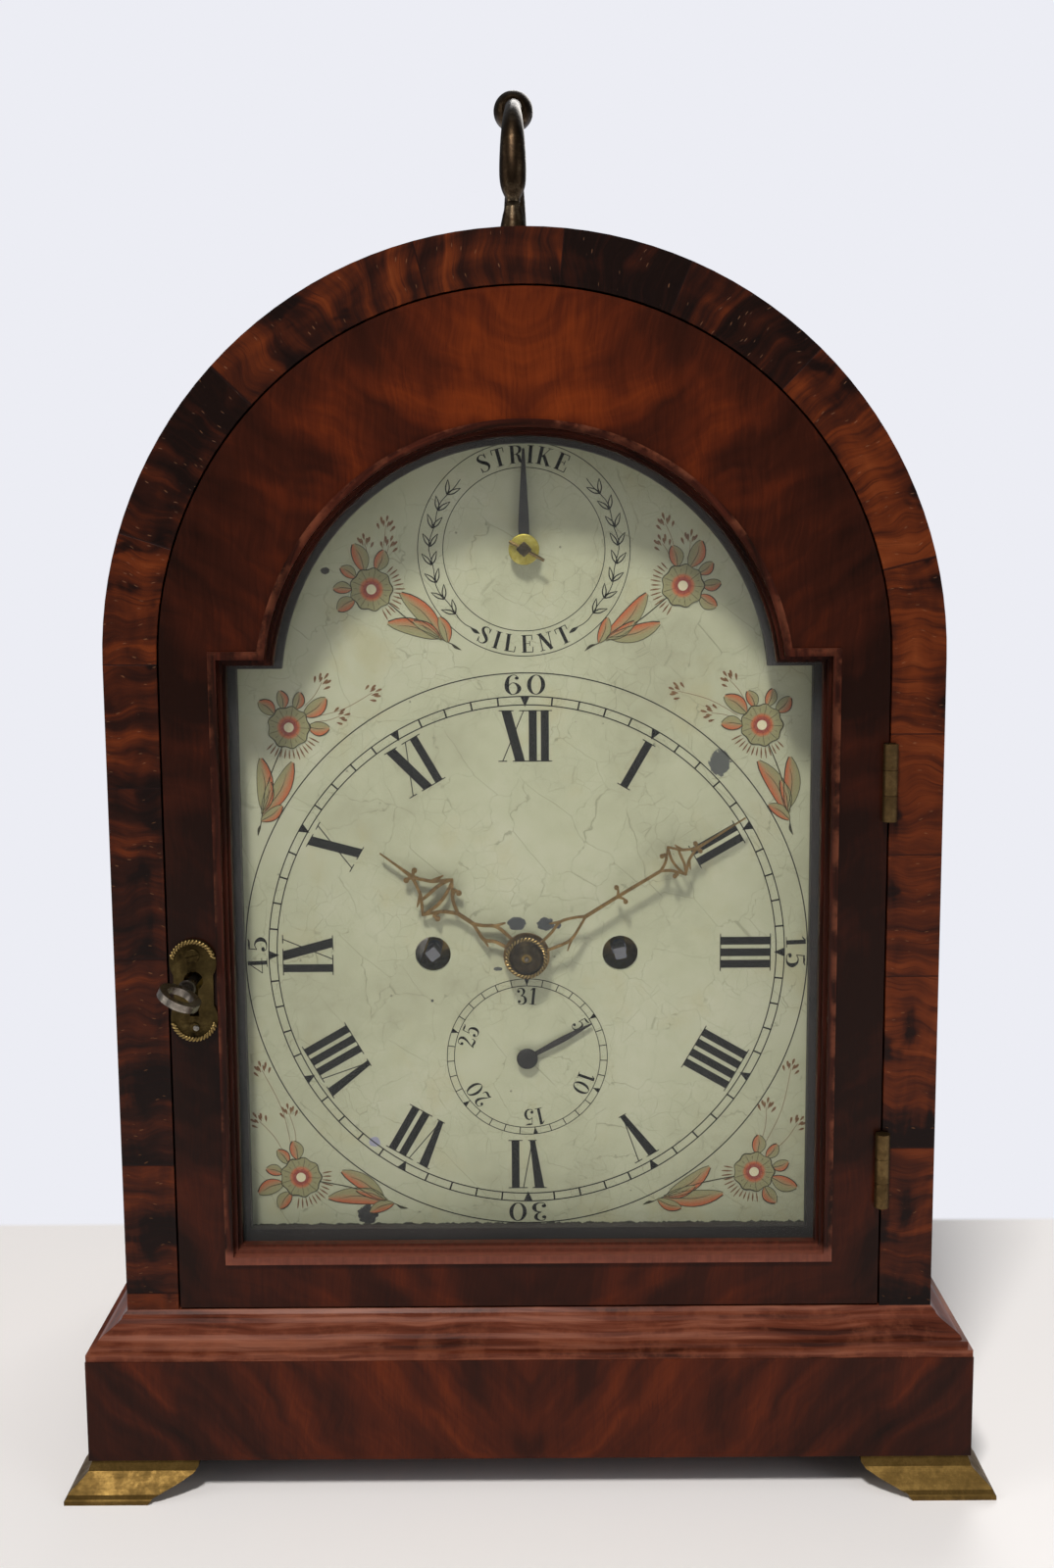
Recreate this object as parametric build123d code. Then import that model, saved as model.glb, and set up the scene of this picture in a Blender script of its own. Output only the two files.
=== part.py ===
from build123d import *
from math import atan2, cos, degrees, hypot, pi, radians, sin, sqrt
import os

# Round-topped English bracket clock of about 1810, in millimetres.
# The dial faces -Y and +Z is up. While it is drawn, y = 0 is the face of the case.

# Case
case_width = 274.0
case_depth = 178.0
side_height = 220.0
carcass_wall = 9.0
front_frame_depth = 18.0
rear_frame_depth = 17.0
frame_face = 17.5
stop_lip = 7.0
door_gap = 0.7
bottom_board = 6.0

# Base, from the shelf up
foot_height = 12.0
foot_reach = 7.0
foot_length = 44.0
foot_wall = 8.0
plinth_height = 35.0
plinth_step = 12.0
plinth_wall = 14.0
base_moulding_height = 13.0
base_fillet = 2.4

# Front door, its sight moulding and glass
door_thickness = 14.0
sight_half_width = 98.0
sight_bottom = 81.0
sight_shoulder = 279.2
sight_arch_radius = 83.2
sight_arch_centre = 269.6
sight_width = 4.8
sight_proud = 1.2
sight_depth = 8.0
glass_thickness = 2.0
glass_inset = 0.3
mask_thickness = 3.8
mask_sight = -1.6

# Rear door
rear_door_thickness = 12.0
rear_stile = 19.0
rear_bottom_rail = 30.0
rear_glass_thickness = 2.0
rear_bead = 5.0
latch_z = 205.0
latch_reach = 9.0
latch_tongue = 15.0
latch_width = 7.0

# Butt hinges, the same pattern front and back
hinge_length = 25.5
hinge_barrel = 2.45
hinge_pin = 1.2
hinge_proud = 1.8
leaf_thickness = 1.0
leaf_width = 10.0
hinge_heights = (108.5, 240.0)
pin_clearance = 0.06
knuckle_gap = 0.15

# Lock, key and escutcheon on the left stile
key_x = -110.6
key_z = 175.2
escutcheon_width = 15.6
escutcheon_length = 34.5
escutcheon_thickness = 1.4
keyhole_radius = 3.2
keyhole_slot = 12.0
keyhole_slot_width = 3.0
key_shank = 1.65
key_bow_width = 14.0
key_bow_length = 18.0
key_bow_thickness = 2.4
key_reach = 33.0
key_bit = 5.2
key_bit_thickness = 1.4
key_turned = 27.0
lock_height = 34.0
lock_depth = 8.0
lock_wall = 1.2
bolt_height = 7.0
bolt_thickness = 3.0
bolt_inset = 1.6
bolt_rise = 10.0
bolt_throw = 5.0
mortise_room = 0.8
lock_clearance = 0.25

# Dial
dial_y = 25.0
dial_thickness = 1.6
dial_margin = 6.0
dial_foot_radius = 2.5
dial_foot_places = ((-54.0, 120.0), (54.0, 120.0), (-54.0, 238.0), (54.0, 238.0))
winding_hole = 6.15
centre_hole = 6.6
date_drop = 37.0
date_hole = 1.9
silent_rise = 139.0
silent_hole = 2.2

# Movement: two plates, pillars and the shelf that carries them
centre_z = 177.6
winding_x = 32.5
plate_half_width = 66.0
plate_bottom = 98.0
plate_top = 258.0
plate_thickness = 2.5
front_plate_y = 42.0
pillar_length = 52.0
pillar_radius = 3.6
pillar_places = ((-61.0, 105.0), (61.0, 105.0), (-61.0, 215.0), (61.0, 215.0), (26.0, 250.0))
seat_thickness = 10.0
seat_front = 32.0
seat_back = 104.0
pivot_clearance = 0.05
arbor_radius = 0.95
pivot_radius = 0.7

# Going train and strike train: teeth, then module
great_teeth = 96
strike_great_teeth = 84
pinion_leaves = 8
small_leaves = 7
centre_teeth = 84
third_teeth = 77
escape_teeth = 35
pin_wheel_teeth = 64
gathering_teeth = 56
warning_teeth = 49
centre_module = 0.55
third_module = 0.5
pin_module = 0.55
gathering_module = 0.5
warning_module = 0.45
escape_radius = 16.0
third_bearing = 68.0
pin_bearing = 75.0
gathering_bearing = 100.0
warning_bearing = 140.0
fly_bearing = 60.0
pallet_rise = 22.3
rim_width = 1.8
wheel_thickness = 1.8
great_thickness = 2.5

# Motion work, date work and striking rack, between the dial and the front plate
cannon_teeth = 36
minute_leaves = 6
hour_teeth = 72
motion_module = 0.6
minute_bearing = 55.0
date_gear_teeth = 30
date_driver_teeth = 60
date_driver_distance = 23.0
date_driver_bearing = -55.0
date_teeth = 31
date_wheel_radius = 11.5
rack_pivot = (-44.0, 160.0)
rack_radius = 63.0
rack_tail = 40.0
rack_step = 1.0
lifting_pivot = (44.0, 222.0)
hook_pivot = (20.0, 238.0)
lever_thickness = 1.1

# Barrels and fusees
barrel_x = 40.0
barrel_z = 126.0
barrel_radius = 20.0
barrel_front = 48.0
barrel_back = 92.0
fusee_front = 62.0
fusee_back = 89.0
fusee_small = 10.5
fusee_large = 20.5
fusee_turns = 12
line_radius = 0.45

# Pendulum, bell and hammer
pendulum_length = 151.0
pendulum_y = 112.0
bob_radius = 19.0
bob_half_thickness = 5.5
rod_radius = 1.1
bell_radius = 35.0
bell_height = 28.0
bell_wall = 2.0
bell_y = 72.0
bell_rim_z = 266.0
hammer_arbor = (-52.0, 203.0)

# Carrying handle, which runs from front to back
handle_front = 38.0
handle_rear = 142.0
handle_x = -2.9
handle_pivot_z = 427.0
handle_top_z = 475.2
knop_radius = 7.2
tang_half = 1.4
tang_radius = 3.6
handle_pin = 1.2

# Hands
hour_hand_length = 61.8
minute_hand_length = 89.0
date_hand_length = 25.5
silent_hand_length = 33.0
hour_angle = 305.8
minute_angle = 57.3
date_angle = 61.5

# Side frets
fret_centre_y = 90.0
fret_half_width = 38.0
fret_bottom = 120.0
fret_spring = 197.0
fret_thickness = 1.5
fret_recess = 2.5
fret_border = 3.0
scale_pitch = 12.6
scale_web = 0.9

# Worked out from the sizes above
case_base = foot_height + plinth_height + base_moulding_height
case_radius = case_width / 2
spring_z = case_base + side_height
inner_radius = case_radius - carcass_wall
frame_opening = case_radius - frame_face
door_radius = frame_opening - door_gap
door_bottom = case_base + door_gap
carcass_back = case_depth - rear_frame_depth
rear_door_y = case_depth - rear_door_thickness
lock_width = door_radius - sight_half_width - sight_width
plinth_top = foot_height + plinth_height
plinth_half = case_radius + plinth_step
dial_back = dial_y + dial_thickness
plate_back = front_plate_y + plate_thickness
back_plate_y = plate_back + pillar_length
movement_back = back_plate_y + plate_thickness
great_module = 2 * winding_x / (great_teeth + pinion_leaves)
strike_module = great_module
model_middle = (case_depth + latch_reach - key_reach) / 2

parts = {}


def slab(outline, front, back):
    """Thicken a face drawn in (x, z), from y = front to y = back."""
    return extrude(Plane.XZ.offset(-back) * outline, amount=back - front)


def upright(outline, left, right):
    """Thicken a face drawn in (y, z), from x = left to x = right."""
    return extrude(Plane.YZ.offset(left) * outline, amount=right - left)


def block(x_range, y_range, z_range):
    """A box between three pairs of limits."""
    middle = [(low + high) / 2 for low, high in (x_range, y_range, z_range)]
    size = [high - low for low, high in (x_range, y_range, z_range)]
    return Pos(*middle) * Box(*size)


def rod(centre, radius, front, back):
    """A round rod along Y through centre (x, z)."""
    return Pos(centre[0], (front + back) / 2, centre[1]) * Rot(90, 0, 0) * Cylinder(radius, back - front)


def upright_rod(x, y, radius, bottom, top):
    """A round rod along Z."""
    return Pos(x, y, (bottom + top) / 2) * Cylinder(radius, top - bottom)


def lathe_y(centre, profile):
    """Turn a closed (radius, y) profile about a line along Y through centre (x, z)."""
    return Pos(centre[0], 0, centre[1]) * revolve(make_face(Polyline(*profile, close=True)), Axis.Y)


def lathe_z(x, y, profile):
    """Turn a closed (radius, z) profile about a vertical line."""
    return Pos(x, y, 0) * revolve(Plane.XZ * make_face(Polyline(*profile, close=True)), Axis.Z)


def around(centre, distance, bearing):
    """The point at a distance and bearing in degrees from centre, in (x, z)."""
    return (centre[0] + distance * cos(radians(bearing)), centre[1] + distance * sin(radians(bearing)))


def bearing_to(start, end):
    """The bearing in degrees from one (x, z) point to another."""
    return degrees(atan2(end[1] - start[1], end[0] - start[0]))


def at(centre, outline):
    """Move a face drawn about the origin to centre (x, z)."""
    return Pos(centre[0], centre[1]) * outline


def bar(start, end, width):
    """A straight lever arm with round ends, between two (x, z) points."""
    length = hypot(end[0] - start[0], end[1] - start[1])
    middle = ((start[0] + end[0]) / 2, (start[1] + end[1]) / 2)
    strip = Pos(*middle) * Rot(0, 0, bearing_to(start, end)) * Rectangle(length, width)
    return strip + at(start, Circle(width / 2)) + at(end, Circle(width / 2))


def round_arch(half_width, bottom, spring, middle=0.0):
    """A round-headed outline: a rectangle up to the springing and a half circle on it."""
    lower = Pos(middle, (bottom + spring) / 2) * Rectangle(2 * half_width, spring - bottom)
    return lower + Pos(middle, spring) * Circle(half_width)


def break_arch(grow=0.0):
    """The door's sight opening: square shoulders with a round arch between them."""
    half = sight_half_width + grow
    bottom = sight_bottom - grow
    shoulder = sight_shoulder + grow
    lower = Pos(0, (bottom + shoulder) / 2) * Rectangle(2 * half, shoulder - bottom)
    return lower + Pos(0, sight_arch_centre) * Circle(sight_arch_radius + grow)


def gear(teeth, module, tooth_bearing, pinion=False):
    """A toothed outline about the origin with one tooth centred on tooth_bearing."""
    pitch = 2 * pi / teeth
    addendum, dedendum = (0.55, 1.45) if pinion else (1.0, 1.15)
    tip_share, root_share = (0.10, 0.15) if pinion else (0.07, 0.28)
    tip = module * (teeth / 2 + addendum)
    root = module * (teeth / 2 - dedendum)
    corners = []
    for tooth in range(teeth):
        middle = radians(tooth_bearing) + tooth * pitch
        for radius, share in ((root, -root_share), (tip, -tip_share), (tip, tip_share), (root, root_share)):
            angle = middle + share * pitch
            corners.append((radius * cos(angle), radius * sin(angle)))
    return make_face(Polyline(*corners, close=True))


def crossed_out(outline, rim, hub, arms, arm_width, turn=0.0):
    """Cut the spaces between a wheel's arms, leaving its rim and its hub."""
    windows = Circle(rim) - Circle(hub)
    for arm in range(arms):
        windows -= Rot(0, 0, turn + arm * 360 / arms) * Pos(rim / 2, 0) * Rectangle(rim, arm_width)
    return outline - windows


def arbor(centre, front, back, radius=arbor_radius):
    """A steel arbor between the plates with a thin pivot in each plate."""
    body = rod(centre, radius, front, back)
    return body + rod(centre, pivot_radius, front_plate_y + 0.3, front) + rod(
        centre, pivot_radius, back, movement_back - 0.3
    )


def hinge(height, edge_x, face_y, outward, leaf_on_door):
    """Half of a butt hinge: a leaf let into the edge, with two end knuckles or the middle one."""
    barrel_y = face_y + outward * hinge_proud
    third = hinge_length / 3
    low = height - hinge_length / 2
    spans = [(low + third + knuckle_gap, low + 2 * third - knuckle_gap)]
    if not leaf_on_door:
        spans = [(low, low + third), (low + 2 * third, low + hinge_length)]
    side = -1 if leaf_on_door else 1
    leaf_x = sorted((edge_x + side * door_gap / 2, edge_x + side * (door_gap / 2 + leaf_thickness)))
    leaf_y = sorted((face_y - outward * leaf_width, barrel_y))
    pieces = []
    for bottom, top in spans:
        knuckle = upright_rod(edge_x, barrel_y, hinge_barrel, bottom, top)
        pieces.append(knuckle + block(leaf_x, leaf_y, (bottom, top)))
    leaf = pieces[0]
    for piece in pieces[1:]:
        leaf += piece
    leaf += block(leaf_x, sorted((face_y - outward * leaf_width, face_y - outward * hinge_barrel)),
                  (low, low + hinge_length))
    if leaf_on_door:
        return leaf - upright_rod(edge_x, barrel_y, hinge_pin + pin_clearance, low, low + hinge_length)
    return leaf + upright_rod(edge_x, barrel_y, hinge_pin, low, low + hinge_length)


hinge_x = frame_opening - door_gap / 2
hinge_relief = hinge_barrel + 0.3


def hinge_recesses(face_y, outward):
    """What the two barrels of one door need cut out of the wood round them."""
    barrel_y = face_y + outward * hinge_proud
    cuts = []
    for height in hinge_heights:
        low, high = height - hinge_length / 2 - 0.3, height + hinge_length / 2 + 0.3
        cuts.append(upright_rod(hinge_x, barrel_y, hinge_relief, low, high))
    return cuts


def hinge_leaves(face_y, outward, leaf_on_door):
    """The two leaves that one door's hinges fix to the door, or to the case."""
    return [hinge(height, hinge_x, face_y, outward, leaf_on_door) for height in hinge_heights]


# The wooden case
side_opening = upright(
    round_arch(fret_half_width, fret_bottom, fret_spring, fret_centre_y), -case_radius - 1, case_radius + 1
)
carcass_outline = round_arch(case_radius, case_base, spring_z) - round_arch(inner_radius, case_base, spring_z)
parts["carcass"] = slab(carcass_outline, front_frame_depth, carcass_back) - side_opening

case_front_leaves = hinge_leaves(0, -1, False)
case_rear_leaves = hinge_leaves(case_depth, 1, False)
parts["case_hinges"] = Compound(children=case_front_leaves + case_rear_leaves)

bolt_z = key_z + bolt_rise
bolt_front = door_thickness - lock_depth + bolt_inset
bolt_y = (bolt_front, bolt_front + bolt_thickness)
mortise_x = (-frame_opening - bolt_throw - 1.5, -frame_opening + 1)
mortise_y = (bolt_y[0] - mortise_room, bolt_y[1] + mortise_room)
mortise_z = (bolt_z - bolt_height / 2 - mortise_room, bolt_z + bolt_height / 2 + mortise_room)
bolt_mortise = block(mortise_x, mortise_y, mortise_z)
front_ring = round_arch(case_radius, case_base, spring_z) - round_arch(frame_opening, case_base, spring_z)
front_frame = slab(front_ring, 0, front_frame_depth) - bolt_mortise
for cut in case_front_leaves + hinge_recesses(0, -1):
    front_frame -= cut
parts["front_frame"] = front_frame

mask_front = front_frame_depth - mask_thickness
mask_outline = round_arch(frame_opening, case_base, spring_z) - break_arch(mask_sight)
parts["dial_mask"] = slab(mask_outline, mask_front, front_frame_depth)

rear_lip = slab(
    round_arch(case_radius, case_base, spring_z) - round_arch(frame_opening - stop_lip, case_base, spring_z),
    carcass_back,
    rear_door_y - door_gap,
)
rear_frame = rear_lip + slab(front_ring, rear_door_y - door_gap, case_depth)
for cut in case_rear_leaves + hinge_recesses(case_depth, 1):
    rear_frame -= cut
parts["rear_frame"] = rear_frame

parts["base_board"] = block(
    (-inner_radius, inner_radius), (front_frame_depth, carcass_back), (case_base, case_base + bottom_board)
)
seat_top = plate_bottom
line_slots = block((-barrel_x - 6, -barrel_x + 6), (60, 84), (seat_top - 20, seat_top + 1)) + block(
    (barrel_x - 6, barrel_x + 6), (60, 84), (seat_top - 20, seat_top + 1)
)
parts["seat_board"] = (
    block((-inner_radius, inner_radius), (seat_front, seat_back), (seat_top - seat_thickness, seat_top))
    + block((-inner_radius, -inner_radius + 12), (seat_front, seat_back),
            (seat_top - seat_thickness - 12, seat_top - seat_thickness))
    + block((inner_radius - 12, inner_radius), (seat_front, seat_back),
            (seat_top - seat_thickness - 12, seat_top - seat_thickness))
    - line_slots
)


def base_course(profile):
    """A moulding round the front and sides, from its (projection, z) points, mitred at the corners."""
    heights = [z for _, z in profile]
    low, high = min(heights), max(heights)
    right = [(case_radius + out, z) for out, z in profile]
    left = [(-x, z) for x, z in reversed(right)]
    across = slab(make_face(Polyline(*right, *left, close=True)), -plinth_step - foot_reach - 1, case_depth)
    front = [(-out, z) for out, z in profile]
    along = upright(
        make_face(Polyline(*front, (case_depth, low), (case_depth, high), close=True)),
        -plinth_half - foot_reach - 1,
        plinth_half + foot_reach + 1,
    )
    return across & along


def ogee(start, end, count=6):
    """Points of a cyma from start to end, both (projection, z)."""
    points = []
    for step in range(count + 1):
        share = step / count
        swing = 0.5 - 0.5 * cos(pi * share)
        points.append((start[0] + (end[0] - start[0]) * swing, start[1] + (end[1] - start[1]) * share))
    return points


ogee_top = case_base
ogee_bottom = plinth_top + 2 * base_fillet
mould_profile = (
    [(0.0, case_base), *ogee((1.2, ogee_top - 1.2), (plinth_step - 3.2, ogee_bottom))]
    + [(plinth_step - 1.6, ogee_bottom), (plinth_step - 1.6, ogee_bottom - base_fillet)]
    + [(plinth_step - 0.2, ogee_bottom - base_fillet), (plinth_step - 0.2, plinth_top)]
)
inside_base = block(
    (-case_radius + plinth_wall, case_radius - plinth_wall),
    (plinth_wall, case_depth - plinth_wall),
    (foot_height - 1, case_base + 1),
)
parts["base_moulding"] = base_course(mould_profile) - inside_base
parts["plinth"] = (
    block((-plinth_half, plinth_half), (-plinth_step, case_depth), (foot_height, plinth_top)) - inside_base
)

# Cast bracket feet: an ogee face on the outside and a scrolled bracket on each side
foot_profile = [
    (plinth_step - 1.0, foot_height),
    *ogee((plinth_step - 0.2, foot_height - 2.2), (plinth_step + foot_reach - 0.6, 1.8)),
    (plinth_step + foot_reach, 1.4),
    (plinth_step + foot_reach, 0.0),
]
foot_course = base_course(foot_profile)
foot_inner_x = plinth_half - foot_wall
foot_tip = plinth_half + foot_reach - foot_length
foot_heel = foot_tip + 16.0


def bracket_sweep(tip, heel):
    """The hollow under a bracket, from its tip down to the heel that stands on the shelf."""
    hollow = [(tip - 200.0, -1.0), (tip - 200.0, foot_height + 1), (tip, foot_height + 1)]
    lip = foot_height - 2.2
    curve = [(tip + (heel - tip) * (0.5 - 0.5 * cos(pi * k / 5)), lip - lip * k / 5) for k in range(6)]
    return make_face(Polyline(*hollow, (tip, lip), *curve[1:], (heel, -1.0), close=True))


def foot(side, rear):
    """One bracket foot; side is -1 or 1, and the rear feet stop flush with the back."""
    face_span = slab(bracket_sweep(foot_tip, foot_heel), -plinth_step - foot_reach - 1, case_depth + 1)
    if side < 0:
        face_span = mirror(face_span, Plane.YZ)
    reach = plinth_step + foot_reach
    depth_tip, depth_heel = foot_length - reach, foot_length - reach - 16.0
    if rear:
        depth_tip, depth_heel = case_depth - depth_tip, case_depth - depth_heel
    x_limits = sorted((side * foot_inner_x, side * (plinth_half + foot_reach)))
    wing_y = sorted((depth_tip, case_depth if rear else -reach))
    wing = foot_course & block(x_limits, wing_y, (-1, foot_height + 1))
    sweep_points = bracket_sweep(0.0, 16.0)
    if rear:
        under = upright(Pos(depth_tip, 0) * sweep_points, x_limits[0] - 1, x_limits[1] + 1)
    else:
        under = upright(Pos(depth_tip, 0) * mirror(sweep_points, Plane.YZ), x_limits[0] - 1, x_limits[1] + 1)
    wing -= under
    if rear:
        return wing
    face_x = sorted((side * foot_tip, side * (plinth_half + foot_reach)))
    face = foot_course & block(face_x, (-reach, -plinth_step + foot_wall), (-1, foot_height + 1))
    return wing + (face - face_span)


parts["bracket_feet"] = Compound(children=[foot(side, rear) for side in (-1, 1) for rear in (False, True)])


# Fish-scale sound frets let into the sides
def scale_hole():
    """The space inside one scale: a round crown over a point between the two scales below."""
    half = scale_pitch / 2
    crown = Circle(half - scale_web) - Pos(0, -scale_pitch) * Rectangle(2 * scale_pitch, 2 * scale_pitch)
    skirt = Pos(0, -half / 2) * Rectangle(2 * (half - scale_web), half)
    below = Pos(-half, -half) * Circle(half + scale_web / 2) + Pos(half, -half) * Circle(half + scale_web / 2)
    return (crown + skirt) - below


def side_fret():
    """One fret in (y, z): a border round rows of scales."""
    outline = round_arch(fret_half_width, fret_bottom, fret_spring, fret_centre_y)
    inner = round_arch(fret_half_width - fret_border, fret_bottom + fret_border, fret_spring, fret_centre_y)
    hole = scale_hole()
    rows = int((fret_spring + fret_half_width - fret_bottom) / (scale_pitch / 2)) + 2
    columns = int(fret_half_width / scale_pitch) + 1
    holes = []
    for row in range(rows):
        shift = 0.5 * (row % 2)
        z = fret_bottom + row * scale_pitch / 2
        for column in range(-columns, columns + 1):
            y = (column + shift) * scale_pitch
            room = fret_half_width - fret_border + scale_pitch / 3
            if abs(y) < room and hypot(y, max(0.0, z - fret_spring)) < room:
                holes.append(Pos(fret_centre_y + y, z) * hole)
    pierced = Sketch() + holes
    return outline - (pierced & inner)


fret_outer = case_radius - fret_recess
fret_plate = upright(side_fret(), fret_outer - fret_thickness, fret_outer)
parts["side_frets"] = Compound(children=[fret_plate, mirror(fret_plate, Plane.YZ)])

# Front door
sight_outer = break_arch(sight_width)
door_outline = round_arch(door_radius, door_bottom, spring_z)
lock_x = (-door_radius, -door_radius + lock_width)
lock_y = (door_thickness - lock_depth, door_thickness)
lock_z = (key_z - lock_height / 2 + 2, key_z + lock_height / 2 + 2)
lock_body = block(lock_x, lock_y, lock_z)
lock_room = block(
    (lock_x[0] + lock_wall, lock_x[1] - lock_wall),
    (lock_y[0] + lock_wall, lock_y[1] - lock_wall),
    (lock_z[0] + lock_wall, lock_z[1] - lock_wall),
)
keyhole = at((key_x, key_z), Circle(keyhole_radius)) + at(
    (key_x, key_z - keyhole_slot / 2), Rectangle(keyhole_slot_width, keyhole_slot)
)
front_door = slab(door_outline, 0, door_thickness) - slab(sight_outer, -1, door_thickness + 1)
front_door -= lock_body
front_door -= slab(keyhole, -1, lock_y[0] + 0.1)
front_door_leaves = hinge_leaves(0, -1, True)
for cut in front_door_leaves + hinge_recesses(0, -1):
    front_door -= cut
parts["front_door_frame"] = front_door
parts["front_door_hinge_leaves"] = Compound(children=front_door_leaves)


def sight_ring():
    """The sight moulding: rings that step back from the wood down to the glass."""
    front = slab(sight_outer - break_arch(sight_width * 0.45), -sight_proud, sight_depth)
    middle = slab(sight_outer - break_arch(sight_width * 0.2), sight_depth * 0.3, sight_depth)
    inner = slab(sight_outer - break_arch(), sight_depth * 0.62, sight_depth)
    return front + middle + inner


parts["sight_moulding"] = sight_ring()
parts["front_glass"] = slab(break_arch(sight_width - glass_inset), sight_depth, sight_depth + glass_thickness)

bolt_slot = block(
    (-door_radius - 1, lock_x[0] + lock_wall + 0.1),
    (bolt_y[0] - lock_clearance, bolt_y[1] + lock_clearance),
    (bolt_z - bolt_height / 2 - lock_clearance, bolt_z + bolt_height / 2 + lock_clearance),
)
lock_keyhole = slab(keyhole, lock_y[0] - 1, lock_y[0] + lock_wall + 0.1)
parts["lock_case"] = lock_body - lock_room - lock_keyhole - bolt_slot
bolt_left = lock_x[0] + 0.1
bolt_tail = lock_x[1] - lock_wall - lock_clearance
parts["lock_bolt"] = block(
    (bolt_left, bolt_tail), bolt_y, (bolt_z - bolt_height / 2, bolt_z + bolt_height / 2)
)

escutcheon_half = escutcheon_width / 2
escutcheon_straight = escutcheon_length / 2 - escutcheon_half
escutcheon_z = key_z - 3.3
escutcheon_outline = at(
    (key_x, escutcheon_z), Rectangle(escutcheon_width - 2.4, 2 * escutcheon_straight + escutcheon_half)
) + at((key_x, escutcheon_z + escutcheon_straight), Ellipse(escutcheon_half, escutcheon_half)) + at(
    (key_x, escutcheon_z - escutcheon_straight), Ellipse(escutcheon_half, escutcheon_half)
)
escutcheon = slab(escutcheon_outline - keyhole, -escutcheon_thickness, 0)
screw_places = ((key_x - 1.0, escutcheon_z + 12.6), (key_x, escutcheon_z - 12.6))
for place in screw_places:
    escutcheon += rod(place, 1.6, -escutcheon_thickness - 0.5, -escutcheon_thickness)
parts["escutcheon"] = escutcheon

bow_centre = -key_reach + key_bow_length / 2
bow_outline = Ellipse(key_bow_width / 2, key_bow_length / 2)
bow_outline -= Ellipse(key_bow_width / 2 - 2.6, key_bow_length / 2 - 2.9)
bow = Pos(0, bow_centre, -key_bow_thickness / 2) * extrude(bow_outline, amount=key_bow_thickness)
key_tip = lock_y[1] - lock_wall - 0.4
bit_y = (key_tip - 3.2, key_tip - 0.6)
door_key = rod((0, 0), key_shank, -key_reach + key_bow_length - 1.5, key_tip)
door_key += lathe_y((0, 0), [(0, -12.6), (2.5, -12.6), (2.9, -11.9), (2.5, -11.2), (0, -11.2)])
door_key += block((0, key_bit), bit_y, (-key_bit_thickness / 2, key_bit_thickness / 2)) + bow
parts["door_key"] = Pos(key_x, 0, key_z) * Rot(0, key_turned, 0) * door_key

# Rear door
rear_half = frame_opening - rear_stile
rear_sill = case_base + rear_bottom_rail
rear_opening = round_arch(rear_half, rear_sill, spring_z)
rear_outline = round_arch(door_radius, door_bottom, spring_z)
rear_door_leaves = hinge_leaves(case_depth, 1, True)
rear_rebate = round_arch(rear_half + rear_bead, rear_sill - rear_bead, spring_z)
rear_glass_y = case_depth - 4.0 - rear_glass_thickness
latch_x = -door_radius + 10.8
rear_door = slab(rear_outline, rear_door_y, case_depth) - slab(rear_opening, rear_door_y - 1, case_depth + 1)
rear_door -= slab(rear_rebate, rear_door_y - 1, rear_glass_y + rear_glass_thickness)
rear_door -= rod((latch_x, latch_z), 2.2, rear_door_y - 1, case_depth + 1)
for cut in rear_door_leaves + hinge_recesses(case_depth, 1):
    rear_door -= cut
parts["rear_door_frame"] = rear_door
parts["rear_door_hinge_leaves"] = Compound(children=rear_door_leaves)
rear_glass_half = rear_half + rear_bead - glass_inset
rear_glass_outline = round_arch(rear_glass_half, rear_sill - rear_bead + glass_inset, spring_z)
parts["rear_glass"] = slab(rear_glass_outline, rear_glass_y, rear_glass_y + rear_glass_thickness)

tongue_back = rear_door_y - door_gap - 0.3 - 5.0
tongue_front = tongue_back - 1.6
latch = rod((latch_x, latch_z), 2.1, tongue_front, case_depth + 2.0)
knob = ((0, 0.2), (4.5, 0.2), (4.5, 1.4), (2.4, 2.4), (2.4, 3.6), (4.9, 5.4), (4.9, 7.4), (3.0, 9.0), (0, 9.0))
latch += lathe_y((latch_x, latch_z), [(radius, case_depth + out) for radius, out in knob])
tongue = bar((latch_x, latch_z), (latch_x, latch_z + latch_tongue), latch_width)
latch += slab(tongue, tongue_front, tongue_back)
parts["rear_door_latch"] = latch

# Dial: painted iron with four feet riveted to its back
centre = (0.0, centre_z)
date_centre = (0.0, centre_z - date_drop)
silent_centre = (0.0, centre_z + silent_rise)
going_winding = (winding_x, centre_z)
strike_winding = (-winding_x, centre_z)
dial_outline = break_arch(dial_margin) - at(centre, Circle(centre_hole)) - at(date_centre, Circle(date_hole))
dial_outline -= at(silent_centre, Circle(silent_hole))
for place in (going_winding, strike_winding):
    dial_outline -= at(place, Circle(winding_hole))
dial = slab(dial_outline, dial_y, dial_back)
for place in dial_foot_places:
    dial += rod(place, dial_foot_radius, dial_back, front_plate_y)
parts["dial_plate"] = dial

# Arbor places, worked out from the wheels that mesh
centre_distance = centre_module * (centre_teeth + small_leaves) / 2
third_centre = around(centre, centre_distance, third_bearing)
escape_distance = third_module * (third_teeth + small_leaves) / 2
escape_centre = (0.0, third_centre[1] + sqrt(escape_distance**2 - third_centre[0] ** 2))
pallet_centre = (0.0, escape_centre[1] + pallet_rise)
pin_distance = strike_module * (strike_great_teeth + pinion_leaves) / 2
pin_centre = around(strike_winding, pin_distance, pin_bearing)
gathering_distance = pin_module * (pin_wheel_teeth + pinion_leaves) / 2
gathering_centre = around(pin_centre, gathering_distance, gathering_bearing)
warning_distance = gathering_module * (gathering_teeth + small_leaves) / 2
warning_centre = around(gathering_centre, warning_distance, warning_bearing)
fly_distance = warning_module * (warning_teeth + small_leaves) / 2
fly_centre = around(warning_centre, fly_distance, fly_bearing)
minute_centre = around(centre, motion_module * cannon_teeth, minute_bearing)
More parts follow.
